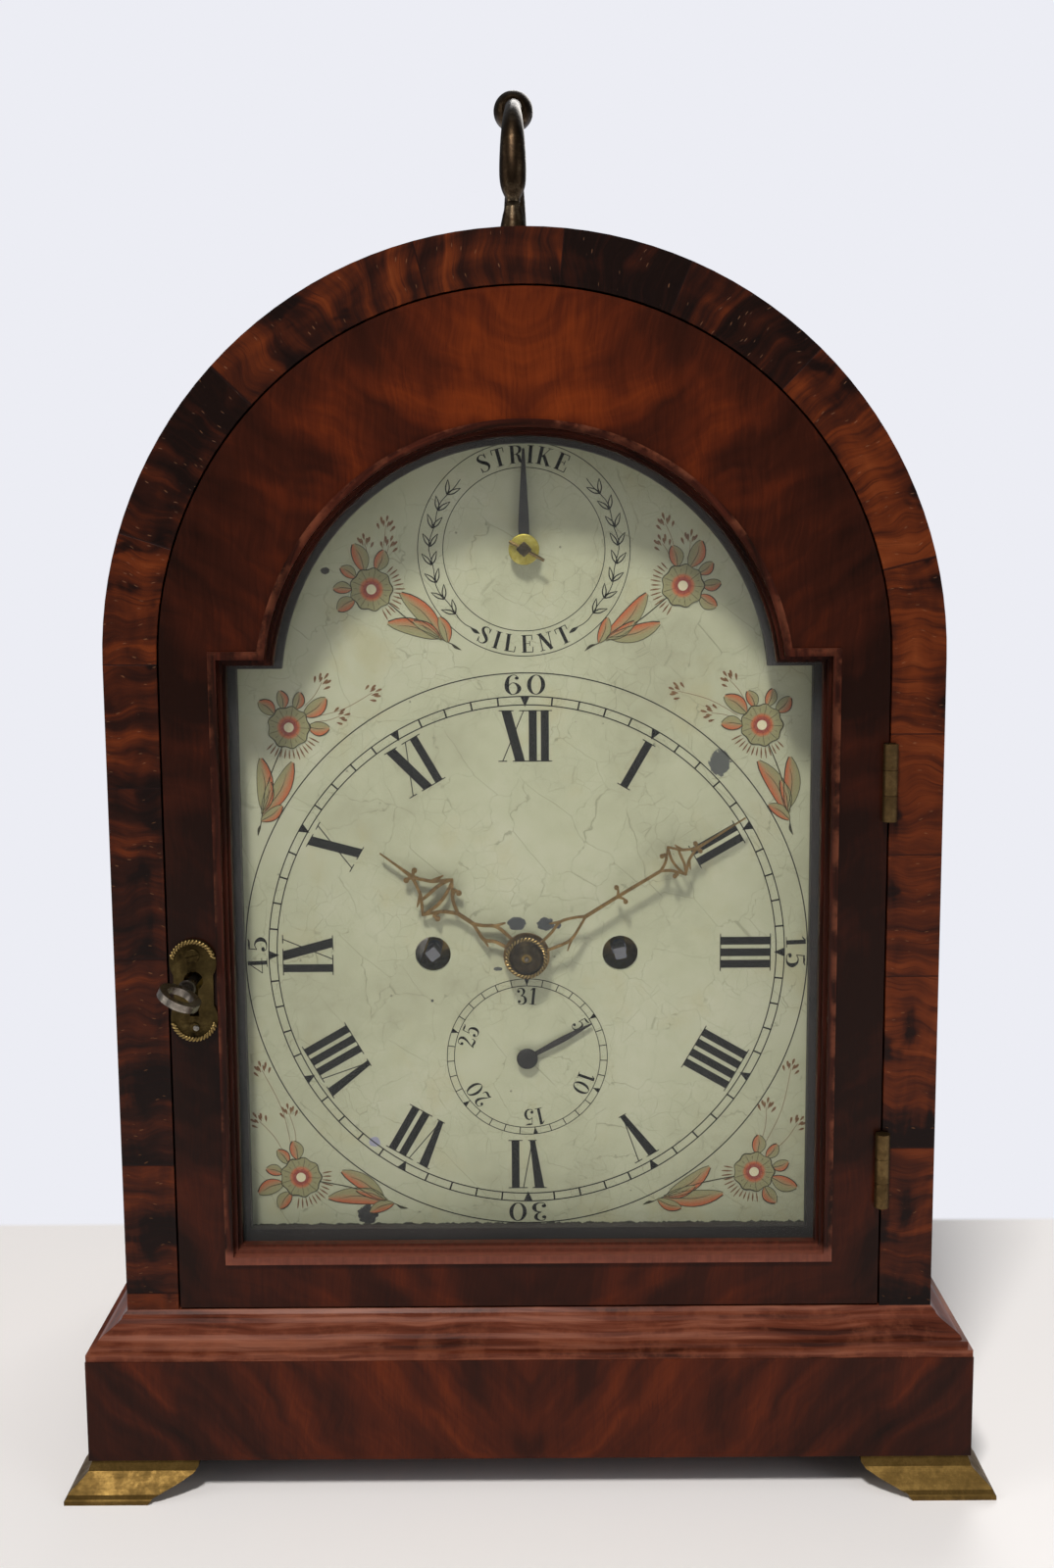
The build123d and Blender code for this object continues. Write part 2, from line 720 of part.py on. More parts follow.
hour_module = 2 * motion_module * cannon_teeth / (hour_teeth + minute_leaves)
date_module = 2 * date_driver_distance / (date_gear_teeth + date_driver_teeth)
date_driver_centre = around(centre, date_driver_distance, date_driver_bearing)
going_barrel_centre = (barrel_x, barrel_z)
strike_barrel_centre = (-barrel_x, barrel_z)

# Plates and pillars
plate_middle = (plate_bottom + plate_top) / 2
plate_outline = Pos(0, plate_middle) * Rectangle(2 * plate_half_width, plate_top - plate_bottom)
pivot_hole = pivot_radius + pivot_clearance
pivot_places = (third_centre, escape_centre, pin_centre, warning_centre, fly_centre)
through_hole = arbor_radius + pivot_clearance
winding_radius = 2.6
winding_hole_radius = winding_radius + pivot_clearance
barrel_arbor = 3.0
front_holes = [(place, pivot_hole) for place in pivot_places + (pallet_centre, hammer_arbor)]
front_holes += [(centre, 1.75), (gathering_centre, through_hole)]
front_holes += [(place, winding_hole_radius) for place in (going_winding, strike_winding)]
barrel_places = (going_barrel_centre, strike_barrel_centre)
barrel_holes = [(place, barrel_arbor + pivot_clearance) for place in barrel_places]
front_holes += barrel_holes
back_holes = [(place, pivot_hole) for place in pivot_places + (centre, gathering_centre, hammer_arbor)]
back_holes += [(place, 1.6) for place in (going_winding, strike_winding)]
back_holes += barrel_holes
back_holes += [(pallet_centre, 4.0)]


def drilled(outline, holes):
    """A plate outline with its (place, radius) holes."""
    for place, radius in holes:
        outline -= at(place, Circle(radius))
    return outline


parts["front_plate"] = slab(drilled(plate_outline, front_holes), front_plate_y, plate_back)
back_plate = slab(drilled(plate_outline, back_holes), back_plate_y, movement_back)
pillar_profile = [
    (0, plate_back), (pillar_radius, plate_back), (pillar_radius, plate_back + 3), (2.4, plate_back + 5),
    (2.4, plate_back + 20), (pillar_radius, plate_back + 26), (2.4, plate_back + 32), (2.4, back_plate_y - 5),
    (pillar_radius, back_plate_y - 3), (pillar_radius, back_plate_y), (0, back_plate_y),
]
for place in pillar_places:
    back_plate += lathe_y(place, pillar_profile)
parts["back_plate"] = back_plate


# Wheels on their arbors
def wheel_root(teeth, module):
    """Radius at the bottom of a wheel's teeth."""
    return module * (teeth / 2 - 1.15)


def wheel(place, teeth, module, tooth_bearing, front, thickness, arms=4, hub=4.0):
    """A crossed-out brass wheel with its collet."""
    rim = wheel_root(teeth, module) - rim_width
    outline = crossed_out(gear(teeth, module, tooth_bearing), rim, hub, arms, 2.0, tooth_bearing + 45)
    collet = rod(place, hub - 1.2, front - 1.0, front + thickness + 1)
    return slab(at(place, outline), front, front + thickness) + collet


def leaves(place, count, module, mate, front, back):
    """A solid steel pinion with a space facing the wheel that drives it."""
    bearing = bearing_to(place, mate) + 180 / count
    return slab(at(place, gear(count, module, bearing, True)), front, back)


centre_wheel_y = plate_back + 1.9
third_wheel_y = plate_back + 11.5
pin_wheel_y = plate_back + 8.6
warning_wheel_y = plate_back + 15.5
gathering_wheel_y = plate_back + 25.5
escape_wheel_y = plate_back + 35.5
great_wheel_y = plate_back + 45.5
third_pinion_y = (centre_wheel_y - 1.3, centre_wheel_y + 4.0)
centre_arbor_front = dial_y - 8.0
centre_arbor = rod(centre, 1.7, centre_arbor_front, great_wheel_y + 4) + rod(
    centre, pivot_radius, great_wheel_y + 4, movement_back - 0.3
)
parts["centre_wheel"] = (
    wheel(centre, centre_teeth, centre_module, third_bearing, centre_wheel_y, wheel_thickness)
    + leaves(centre, pinion_leaves, great_module, going_winding, great_wheel_y - 1.5, great_wheel_y + 4)
    + centre_arbor
)
parts["third_wheel"] = (
    wheel(third_centre, third_teeth, third_module, bearing_to(third_centre, escape_centre), third_wheel_y,
          wheel_thickness)
    + leaves(third_centre, small_leaves, centre_module, centre, *third_pinion_y)
    + arbor(third_centre, plate_back + 0.4, back_plate_y - 0.4)
)


def escape_outline():
    """Raked, pointed teeth for a recoil anchor."""
    corners = []
    pitch = 2 * pi / escape_teeth
    for tooth in range(escape_teeth):
        start = pi / 2 + (tooth + 0.5) * pitch
        for radius, share in ((escape_radius - 2.2, -0.42), (escape_radius, 0.06), (escape_radius, 0.16),
                              (escape_radius - 2.2, 0.22)):
            corners.append((radius * cos(start + share * pitch), radius * sin(start + share * pitch)))
    return make_face(Polyline(*corners, close=True))


escape_face = crossed_out(escape_outline(), escape_radius - 4.0, 3.4, 4, 1.8, 20.0)
parts["escape_wheel"] = (
    slab(at(escape_centre, escape_face), escape_wheel_y, escape_wheel_y + 1.4)
    + rod(escape_centre, 2.6, escape_wheel_y - 1, escape_wheel_y + 2.4)
    + leaves(escape_centre, small_leaves, third_module, third_centre, third_wheel_y - 2, third_wheel_y + 4)
    + arbor(escape_centre, plate_back + 0.4, back_plate_y - 0.4)
)

# Recoil anchor, its nibs standing just clear of the wheel
nib_clearance = 0.95
nib_spread = 4 * 360 / escape_teeth


def anchor():
    """The steel anchor in (x, z): two arms with a nib at each end."""
    outline = at(pallet_centre, Circle(3.6))
    for side in (-1, 1):
        tip = around(escape_centre, escape_radius + nib_clearance, 90 - side * nib_spread)
        heel = around(escape_centre, escape_radius + nib_clearance + 4.6, 90 - side * (nib_spread + 2.5))
        root = around(escape_centre, escape_radius + nib_clearance + 4.6, 90 - side * (nib_spread - 7.5))
        outline += make_face(Polyline(tip, heel, root, close=True))
        outline += bar(pallet_centre, ((heel[0] + root[0]) / 2, (heel[1] + root[1]) / 2), 3.0)
    return outline


crutch_y = movement_back + 3.0
crutch_length = 46.0
pallet_arbor = rod(pallet_centre, arbor_radius, plate_back + 0.4, crutch_y + 5) + rod(
    pallet_centre, pivot_radius, front_plate_y + 0.3, plate_back + 0.4
)
pallet_arbor += rod(pallet_centre, pivot_radius, crutch_y + 5, crutch_y + 8.8)
crutch = slab(bar(pallet_centre, (0.0, pallet_centre[1] - crutch_length), 2.0), crutch_y, crutch_y + 1.2)
crutch_fork = block((-2.0, 2.0), (crutch_y, pendulum_y + 2.5),
                    (pallet_centre[1] - crutch_length - 2.0, pallet_centre[1] - crutch_length + 2.0))
crutch_slot = block((-rod_radius - 0.15, rod_radius + 0.15), (pendulum_y - 3.0, pendulum_y + 3.0),
                    (pallet_centre[1] - crutch_length - 3.0, pallet_centre[1] - crutch_length + 3.0))
parts["pallets"] = slab(anchor(), escape_wheel_y - 0.8, escape_wheel_y + 2.2) + pallet_arbor + crutch + (
    crutch_fork - crutch_slot
)

# Pendulum cock on the back plate; the pendulum hangs from its slot
cock_y = crutch_y + 6.0
cock_outline = Pos(0, pallet_centre[1] + 1) * Rectangle(44, 11)
cock = slab(cock_outline - at(pallet_centre, Circle(pivot_hole)), cock_y, cock_y + 3)
cock_z = (pallet_centre[1] - 4.5, pallet_centre[1] + 6.5)
for side in (-1, 1):
    cock += block(sorted((side * 16, side * 22)), (movement_back, cock_y), cock_z)
suspension_z = pallet_centre[1]
cock += block((-5, 5), (cock_y + 3, pendulum_y + 4), (suspension_z + 3.2, suspension_z + 6.5))
cock -= block((-0.4, 0.4), (pendulum_y - 1.0, pendulum_y + 5), (suspension_z + 3, suspension_z + 7))
parts["pendulum_cock"] = cock

bob_z = suspension_z - pendulum_length
bob_face = [(0.0, bob_half_thickness), (7.0, bob_half_thickness - 0.5), (13.5, bob_half_thickness - 2.0),
            (bob_radius - 1.5, 1.6), (bob_radius, 0.7)]
bob_profile = [(radius, -y) for radius, y in bob_face] + bob_face[::-1]
pendulum = Pos(0, pendulum_y, 0) * lathe_y((0, bob_z), bob_profile)
pendulum += upright_rod(0, pendulum_y, rod_radius, bob_z, suspension_z - 5.5)
pendulum += upright_rod(0, pendulum_y, 2.4, bob_z - bob_radius - 3.0, bob_z - bob_radius - 0.8)
pendulum += upright_rod(0, pendulum_y, rod_radius, bob_z - bob_radius - 3.6, bob_z)
pendulum += block((-0.2, 0.2), (pendulum_y - 0.9, pendulum_y + 3.0), (suspension_z - 6.5, suspension_z + 2.6))
parts["pendulum"] = pendulum


square_back = dial_y + 7.0


def fusee(place, teeth, mate, bearing):
    """A fusee with its grooved cone, great wheel, maintaining cap and square-ended winding arbor."""
    pitch = (fusee_back - fusee_front) / fusee_turns
    profile = [(0, fusee_front)]
    for turn in range(fusee_turns + 1):
        share = turn / fusee_turns
        radius = fusee_small + (fusee_large - fusee_small) * share**0.8
        y = fusee_front + turn * pitch
        profile.append((radius, y))
        if turn < fusee_turns:
            profile.append((radius - 0.5, y + pitch / 2))
    profile.append((0, fusee_back))
    root = great_module * (teeth / 2 - 1.15)
    tooth = bearing_to(place, mate) + bearing
    outline = crossed_out(gear(teeth, great_module, tooth), root - 3.0, fusee_large - 3, 4, 4.0, tooth)
    body = slab(at(place, outline), great_wheel_y, great_wheel_y + great_thickness)
    body += lathe_y(place, profile) + rod(place, fusee_large - 4, fusee_back - 1, great_wheel_y + 1)
    body += rod(place, winding_radius, square_back, back_plate_y - 0.4)
    body += rod(place, 1.5, back_plate_y - 0.4, movement_back)
    square = Rot(0, 0, 38.0 if place[0] < 0 else 12.0) * Rectangle(4.0, 4.0)
    return body + slab(at(place, square & Circle(winding_radius)), dial_y - 0.5, square_back)


parts["going_fusee"] = fusee(going_winding, great_teeth, centre, 0.0)
parts["strike_fusee"] = fusee(strike_winding, strike_great_teeth, pin_centre, 0.0)


def barrel(place):
    """A spring barrel with its end caps and fixed-arbor bosses."""
    rim = barrel_radius + 0.6
    profile = [
        (0, barrel_front), (rim, barrel_front), (rim, barrel_front + 2), (barrel_radius, barrel_front + 2),
        (barrel_radius, barrel_back - 2), (rim, barrel_back - 2), (rim, barrel_back), (0, barrel_back),
    ]
    body = lathe_y(place, profile) + rod(place, barrel_arbor, front_plate_y + 0.2, movement_back - 0.2)
    return body + rod(place, barrel_arbor + 1.5, barrel_front - 1.2, barrel_back + 1.2)


parts["going_barrel"] = barrel(going_barrel_centre)
parts["strike_barrel"] = barrel(strike_barrel_centre)


def gut_line(side):
    """The taut run of gut from the outer side of a barrel to the outer side of its fusee."""
    turn = 6
    y = fusee_front + (turn + 0.5) * (fusee_back - fusee_front) / fusee_turns
    share = (turn + 0.5) / fusee_turns
    fusee_reach = fusee_small + (fusee_large - fusee_small) * share**0.8 + line_radius + 0.15
    barrel_reach = barrel_radius + line_radius + 0.15
    start, end = (barrel_x, barrel_z), (winding_x, centre_z)
    length = hypot(end[0] - start[0], end[1] - start[1])
    tilt = atan2(end[1] - start[1], end[0] - start[0])
    lean = atan2(barrel_reach - fusee_reach, sqrt(length**2 - (barrel_reach - fusee_reach) ** 2))
    normal = tilt - pi / 2 + lean
    low = (start[0] + barrel_reach * cos(normal), start[1] + barrel_reach * sin(normal))
    high = (end[0] + fusee_reach * cos(normal), end[1] + fusee_reach * sin(normal))
    run = hypot(high[0] - low[0], high[1] - low[1])
    strand = Pos((low[0] + high[0]) / 2, y, (low[1] + high[1]) / 2) * Rot(0, 90 - bearing_to(low, high), 0)
    strand = strand * Cylinder(line_radius, run)
    return strand if side > 0 else mirror(strand, Plane.YZ)


parts["gut_lines"] = Compound(children=[gut_line(side) for side in (-1, 1)])

# Strike train
pin_wheel = wheel(pin_centre, pin_wheel_teeth, pin_module, gathering_bearing, pin_wheel_y, wheel_thickness)
hammer_bearing = bearing_to(pin_centre, hammer_arbor)
pin_circle = wheel_root(pin_wheel_teeth, pin_module) - rim_width / 2
for pin in range(8):
    place = around(pin_centre, pin_circle, hammer_bearing + 14.0 + pin * 45.0)
    pin_wheel += rod(place, 0.6, pin_wheel_y - 3.4, pin_wheel_y)
parts["pin_wheel"] = (
    pin_wheel
    + leaves(pin_centre, pinion_leaves, strike_module, strike_winding, great_wheel_y - 1.5, great_wheel_y + 4)
    + arbor(pin_centre, plate_back + 0.4, back_plate_y - 0.4)
)
lever_front = dial_y + 7.8
lever_back = lever_front + lever_thickness
gathering_arm = bar(gathering_centre, around(gathering_centre, 2.4, 200.0), 1.6)
parts["gathering_wheel"] = (
    wheel(gathering_centre, gathering_teeth, gathering_module, bearing_to(gathering_centre, warning_centre),
          gathering_wheel_y, wheel_thickness)
    + leaves(gathering_centre, pinion_leaves, pin_module, pin_centre, pin_wheel_y - 1.5, pin_wheel_y + 3.5)
    + rod(gathering_centre, arbor_radius, lever_front, back_plate_y - 0.4)
    + rod(gathering_centre, pivot_radius, back_plate_y - 0.4, movement_back - 0.3)
    + slab(gathering_arm, lever_front, lever_back)
)
warning_pin = around(warning_centre, wheel_root(warning_teeth, warning_module) - rim_width / 2, 60.0)
parts["warning_wheel"] = (
    rod(warning_pin, 0.5, warning_wheel_y - 2.0, warning_wheel_y)
    + wheel(warning_centre, warning_teeth, warning_module, fly_bearing, warning_wheel_y, 1.4, 3, 3.2)
    + leaves(warning_centre, small_leaves, gathering_module, gathering_centre, gathering_wheel_y - 2,
             gathering_wheel_y + 4)
    + arbor(warning_centre, plate_back + 0.4, back_plate_y - 0.4)
)
fly_half = 8.4
fly_y = (plate_back + 30.5, plate_back + 47.5)
fly_x = (fly_centre[0] - fly_half, fly_centre[0] + fly_half)
fly_pinion_y = (warning_wheel_y - 2, warning_wheel_y + 3.4)
parts["fly"] = (
    block(fly_x, fly_y, (fly_centre[1] - 0.4, fly_centre[1] + 0.4))
    + rod(fly_centre, 1.8, *fly_y)
    + leaves(fly_centre, small_leaves, warning_module, warning_centre, *fly_pinion_y)
    + arbor(fly_centre, plate_back + 0.4, back_plate_y - 0.4)
)

# Bell on its stand, and the hammer
bell_top = bell_rim_z + bell_height


def bell_curve(radius, height):
    """A quarter of an ellipse from the crown of the bell to its rim, as (radius, z) points."""
    return [(radius * sin(radians(a)), bell_rim_z + height * cos(radians(a))) for a in range(0, 91, 15)]


bell_profile = bell_curve(bell_radius, bell_height)
bell_inside = bell_curve(bell_radius - bell_wall, bell_height - bell_wall)
bell_shape = lathe_z(0, bell_y, [*bell_profile, *reversed(bell_inside)])
stand_x = 30.0
stand_top = bell_top + 9.0
bell_bore = 2.0
parts["bell"] = bell_shape - upright_rod(0, bell_y, bell_bore, bell_top - 5, bell_top + 5)
arm_outline = make_face(Polyline(
    (stand_x - 5, movement_back + 3), (stand_x + 5, movement_back + 3), (5, bell_y - 5), (-5, bell_y - 5),
    (-5, bell_y + 3), close=True,
))
stand_foot = plate_top - 36.0
bell_stand = block((stand_x - 5, stand_x + 5), (movement_back, movement_back + 3), (stand_foot, stand_top))
bell_stand += Pos(0, 0, stand_top - 3) * extrude(arm_outline, amount=3)
bell_stand += upright_rod(0, bell_y, bell_bore - 0.1, bell_top - bell_wall - 3.0, stand_top)
bell_stand += upright_rod(0, bell_y, 4.0, bell_top + 0.05, stand_top) + upright_rod(
    0, bell_y, 3.6, bell_top - bell_wall - 2.6, bell_top - bell_wall - 0.5
)
parts["bell_stand"] = bell_stand

hammer_y = bell_y
tail_reach = hypot(pin_centre[0] - hammer_arbor[0], pin_centre[1] - hammer_arbor[1]) - pin_circle + 1.0
tail_end = around(hammer_arbor, tail_reach, bearing_to(hammer_arbor, pin_centre))
head_z = bell_rim_z + 5.0
head_x = -bell_radius - 5.5
knee = (hammer_arbor[0] + 1.0, 258.0)
hammer = rod(hammer_arbor, arbor_radius, plate_back + 0.4, back_plate_y - 0.4)
hammer += rod(hammer_arbor, pivot_radius, front_plate_y + 0.3, plate_back + 0.4)
hammer += rod(hammer_arbor, pivot_radius, back_plate_y - 0.4, movement_back - 0.3)
hammer_tail = bar(hammer_arbor, tail_end, 2.0) + at(hammer_arbor, Circle(2.6))
hammer += slab(hammer_tail, pin_wheel_y - 3.2, pin_wheel_y - 1.6)
hammer_stem = bar(hammer_arbor, knee, 2.0) + at(hammer_arbor, Circle(2.8)) + bar(knee, (head_x, head_z), 2.0)
hammer += slab(hammer_stem, hammer_y - 1, hammer_y + 1)
hammer += Pos(head_x, hammer_y, head_z) * Rot(0, 90, 0) * Cylinder(3.4, 7.0)
parts["hammer"] = hammer

# Motion work behind the dial
minute_front = dial_y - 6.3
hour_front = dial_y - 3.4
minute_hand_thickness = 0.9
hour_hand_thickness = 1.0
cannon_y = front_plate_y - 3.4
minute_thickness = 1.7
bridge_y = front_plate_y - 5.05
hour_y = front_plate_y - 7.4
snail_y = lever_front
date_y = dial_y + 5.9
cannon_bore = 1.78
cannon_end = 2.3
hand_fit = 0.03
parts["cannon_pinion"] = (
    slab(at(centre, gear(cannon_teeth, motion_module, minute_bearing)), cannon_y, cannon_y + minute_thickness)
    + rod(centre, 3.0, minute_front + minute_hand_thickness, front_plate_y - 0.5)
    + rod(centre, cannon_end, minute_front, minute_front + minute_hand_thickness)
    - rod(centre, cannon_bore, 10, front_plate_y)
)
minute_pin = around(minute_centre, 8.0, 200.0)
minute_gear = gear(cannon_teeth, motion_module, minute_bearing + 180 + 180 / cannon_teeth)
minute_body = slab(at(minute_centre, minute_gear), cannon_y, cannon_y + minute_thickness)
minute_body += leaves(minute_centre, minute_leaves, hour_module, centre, hour_y - 0.4, cannon_y)
minute_body += rod(minute_pin, 0.6, bridge_y - 0.1, cannon_y)
stud_radius = 0.9
parts["minute_wheel"] = minute_body - rod(minute_centre, stud_radius + pivot_clearance, 30, front_plate_y)
front_studs = rod(minute_centre, stud_radius, hour_y - 1.0, front_plate_y)

bridge_half = 26.0
bridge = slab(Pos(0, centre_z) * Rectangle(2 * bridge_half, 6), bridge_y, bridge_y + 1.0)
for side in (-1, 1):
    bridge += rod((side * (bridge_half - 3), centre_z), 2.6, bridge_y, front_plate_y)
    bridge += rod((side * (bridge_half - 3), centre_z), 1.7, bridge_y - 1.1, bridge_y)
bridge += rod(centre, 4.0, dial_y + 2.5, bridge_y)
parts["hour_bridge"] = bridge - rod(centre, 3.15, 20, front_plate_y)

hour_pipe_radius = 5.0
hour_pipe = rod(centre, hour_pipe_radius, hour_front - 0.6, hour_y + minute_thickness)
hour_gear = crossed_out(gear(hour_teeth, hour_module, minute_bearing), 16.4, 7.0, 4, 2.4, 15.0)
hour_wheel = slab(at(centre, hour_gear), hour_y, hour_y + minute_thickness)


def snail_outline():
    """Twelve steps; each is the room left for the rack's tail after that many teeth."""
    outline = Circle(1.0)
    for hour in range(1, 13):
        tail = around(rack_pivot, rack_tail, hour * rack_step)
        reach = hypot(tail[0] - centre[0], tail[1] - centre[1]) - 1.6
        facing = bearing_to(centre, around(rack_pivot, rack_tail, 10 * rack_step))
        start = facing - 10.0 + (hour - 10) * 30.0
        wedge = [(0.0, 0.0)] + [(reach * cos(radians(start + a)), reach * sin(radians(start + a)))
                                for a in (0, 10, 20, 30)]
        outline += make_face(Polyline(*wedge, close=True))
    return outline


hour_wheel += slab(at(centre, snail_outline()), snail_y, snail_y + 1.2) + hour_pipe
hour_wheel += slab(at(centre, gear(date_gear_teeth, date_module, date_driver_bearing)), date_y, date_y + 1.3)
pipe_step = dial_y + 2.0
hour_wheel -= rod(centre, 4.1, pipe_step, front_plate_y)
parts["hour_wheel"] = hour_wheel - rod(centre, 3.3, 10, pipe_step)

driver_gear = gear(date_driver_teeth, date_module, date_driver_bearing + 180 + 180 / date_driver_teeth)
driver_pin = around(date_driver_centre, 12.5, 150.0)
driver_outline = crossed_out(driver_gear, 12.9, 4.0, 4, 3.4, 150.0)
driver = slab(at(date_driver_centre, driver_outline), date_y, date_y + 1.3)
driver += rod(driver_pin, 0.7, date_y - 2.0, date_y) + rod(date_driver_centre, 2.4, date_y, date_y + 3.5)
parts["date_driver"] = driver - rod(date_driver_centre, stud_radius + pivot_clearance, 20, front_plate_y)
front_studs += rod(date_driver_centre, stud_radius, date_y - 0.4, front_plate_y)


def date_ratchet():
    """Thirty-one pointed teeth for the pin that drives the date once a day."""
    corners = []
    for tooth in range(date_teeth):
        for share, radius in ((0.0, date_wheel_radius), (0.5, date_wheel_radius - 1.8)):
            angle = (tooth + share) * 2 * pi / date_teeth
            corners.append((radius * cos(angle), radius * sin(angle)))
    return make_face(Polyline(*corners, close=True))


date_post = date_hole - 0.15
parts["date_wheel"] = slab(at(date_centre, date_ratchet()), date_y - 2.2, date_y - 0.9) + rod(
    date_centre, date_post, dial_y - 2.3, date_y - 2.2
)

rack_arm = bar(rack_pivot, around(rack_pivot, 57.0, 70.0), 3.0)
rack_ring = at(rack_pivot, Circle(rack_radius - 1.5) - Circle(rack_radius - 7.0))
sector = make_face(Polyline(rack_pivot, around(rack_pivot, 80, 60), around(rack_pivot, 80, 80), close=True))
rack_outline = (rack_ring & sector) + rack_arm + at(rack_pivot, Circle(3.6))
for tooth in range(14):
    foot_left = around(rack_pivot, rack_radius - 2.0, 63.0 + tooth * rack_step)
    tip = around(rack_pivot, rack_radius, 63.75 + tooth * rack_step)
    foot_right = around(rack_pivot, rack_radius - 2.0, 63.95 + tooth * rack_step)
    rack_outline += make_face(Polyline(foot_left, tip, foot_right, close=True))
rack_outline += bar(rack_pivot, around(rack_pivot, rack_tail, 0.0), 2.0)
lever_stud = 1.5
stud_hole = Circle(lever_stud + pivot_clearance)
parts["rack"] = slab(rack_outline - at(rack_pivot, stud_hole), lever_front, lever_back)
front_studs += rod(rack_pivot, lever_stud, lever_front - 0.6, front_plate_y)

beak = around(rack_pivot, rack_radius + 0.5, 66.0)
hook_elbow = (beak[0] + 1.0, beak[1] + 5.0)
hook_outline = bar(hook_pivot, hook_elbow, 2.6) + make_face(
    Polyline(beak, (hook_elbow[0] + 1.6, hook_elbow[1]), (hook_elbow[0] - 1.6, hook_elbow[1]), close=True)
)
hook_outline += at(hook_pivot, Circle(3.2))
parts["rack_hook"] = slab(hook_outline - at(hook_pivot, stud_hole), lever_front, lever_back)
front_studs += rod(hook_pivot, lever_stud, lever_front - 0.6, front_plate_y)

lifting_end = around(minute_centre, 10.4, bearing_to(minute_centre, lifting_pivot))
lifting_nose = (-8.0, 226.0)
lifting_outline = bar(lifting_pivot, lifting_end, 2.4) + bar(lifting_pivot, lifting_nose, 2.4)
lifting_outline += at(lifting_pivot, Circle(3.4))
lifting_outline -= at(lifting_pivot, stud_hole)
parts["lifting_piece"] = slab(lifting_outline, bridge_y, bridge_y + lever_thickness)
front_studs += rod(lifting_pivot, lever_stud, bridge_y - 0.6, front_plate_y)
parts["front_plate"] += front_studs

# Hands: pierced and chased, drawn as strokes with u along the hand and v to its left
def between(before, start, end, after, share):
    """A value on a smooth curve from start to end, with its neighbours on both sides."""
    slope = end - before
    bend = 2 * before - 5 * start + 4 * end - after
    twist = 3 * start - before - 3 * end + after
    return 0.5 * (2 * start + slope * share + bend * share**2 + twist * share**3)


def smooth(points, steps=5):
    """Points on a smooth curve through (u, v, width) points."""
    ends = [points[0], *points, points[-1]]
    path = []
    for corners in zip(ends, ends[1:], ends[2:], ends[3:]):
        for step in range(steps):
            path.append(tuple(between(*values, step / steps) for values in zip(*corners)))
    return [*path, points[-1]]


def strand(*points):
    """One wire of a pierced hand: a ribbon with round ends, along (u, v, width) points."""
    path = smooth(points)
    sides = ([], [])
    for i, (u, v, width) in enumerate(path):
        before, after = path[max(i - 1, 0)], path[min(i + 1, len(path) - 1)]
        bearing = atan2(after[1] - before[1], after[0] - before[0])
        turns = (90,)
        if i == 0:
            turns = (160, 125, 90)
        elif i == len(path) - 1:
            turns = (90, 55, 20)
        for turn in turns:
            for side, points_on_side in zip((1, -1), sides):
                angle = bearing + side * radians(turn)
                points_on_side.append((-(v + width / 2 * sin(angle)), u + width / 2 * cos(angle)))
    return [make_face(Polyline(*sides[0], *reversed(sides[1]), close=True))]


def bead(u, v, radius):
    """A round drop at the end of a curl."""
    return Pos(-v, u) * RegularPolygon(radius, 14)


def diamond(scale, wire):
    """The pierced diamond with its four curls, from its fork at the origin to its boss."""
    k = scale
    shapes = []
    for side in (-1, 1):
        shapes += strand((0, 0, wire), (4.1 * k, side * 2.4 * k, wire), (6.8 * k, side * 5.2 * k, wire * 0.9),
                         (9.1 * k, side * 8.0 * k, wire * 0.8))
        shapes += strand((5.5 * k, side * 4.0 * k, wire * 0.9), (5.9 * k, side * 5.9 * k, wire * 0.85))
        shapes += strand((6.0 * k, side * 5.7 * k, wire * 0.8), (4.6 * k, side * 6.1 * k, wire * 0.75))
        shapes.append(bead(4.3 * k, side * 5.8 * k, wire * 0.85))
        shapes += strand((9.1 * k, side * 8.0 * k, wire * 0.8), (13.6 * k, side * 3.5 * k, wire),
                         (17.0 * k, side * 1.5 * k, wire * 0.9), (20.2 * k, 0, wire * 1.2))
        shapes += strand((14.2 * k, side * 3.2 * k, wire * 0.9), (13.2 * k, side * 5.0 * k, wire * 0.9),
                         (12.4 * k, side * 7.0 * k, wire * 0.4))
        shapes.append(bead(21.1 * k, side * 2.2 * k, wire * 0.85))
        shapes += strand((20.2 * k, 0, wire), (21.1 * k, side * 1.7 * k, wire))
    shapes += strand((9.1 * k, 8.0 * k, wire * 0.8), (7.4 * k, 2.4 * k, wire), (7.5 * k, -2.6 * k, wire),
                     (8.6 * k, -7.0 * k, wire * 0.8))
    shapes += strand((9.1 * k, -8.0 * k, wire * 0.8), (11.2 * k, -3.8 * k, wire), (12.2 * k, 2.0 * k, wire),
                     (13.0 * k, 5.0 * k, wire * 0.8))
    return shapes


def heart(join_u, join_v, start, spread, wire):
    """The open heart next to the collet: two lobes with pointed cusps that meet at the stem."""
    shapes = []
    for side in (-1, 1):
        shoulder = (start + (join_u - start) * 0.35, join_v * 0.6 + side * spread)
        shapes += strand((start - 6.2, side * 1.4, wire), (start, side * spread * 0.75, wire),
                         (*shoulder, wire), (join_u - 3.0, join_v + side * spread * 0.45, wire * 0.9),
                         (join_u, join_v, wire))
        shapes += strand((*shoulder, wire), (start + 1.2, side * (spread + 2.0), wire * 0.45))
    return shapes


def hand(shapes, place, clock_angle, front, thickness, boss, bore):
    """Turn an upright outline to its clock angle, set it on its arbor and pierce it."""
    outline = Circle(boss) - Circle(bore)
    for shape in shapes:
        outline += shape - Circle(bore + 0.5)
    turned = Rot(0, 0, -clock_angle) * outline
    return slab(at(place, turned), front, front + thickness)


def set_off(u, v, turn, shapes):
    """Move shapes so that their origin is at (u, v) and their axis is turned to the left."""
    return [Pos(-v, u) * Rot(0, 0, turn) * shape for shape in shapes]


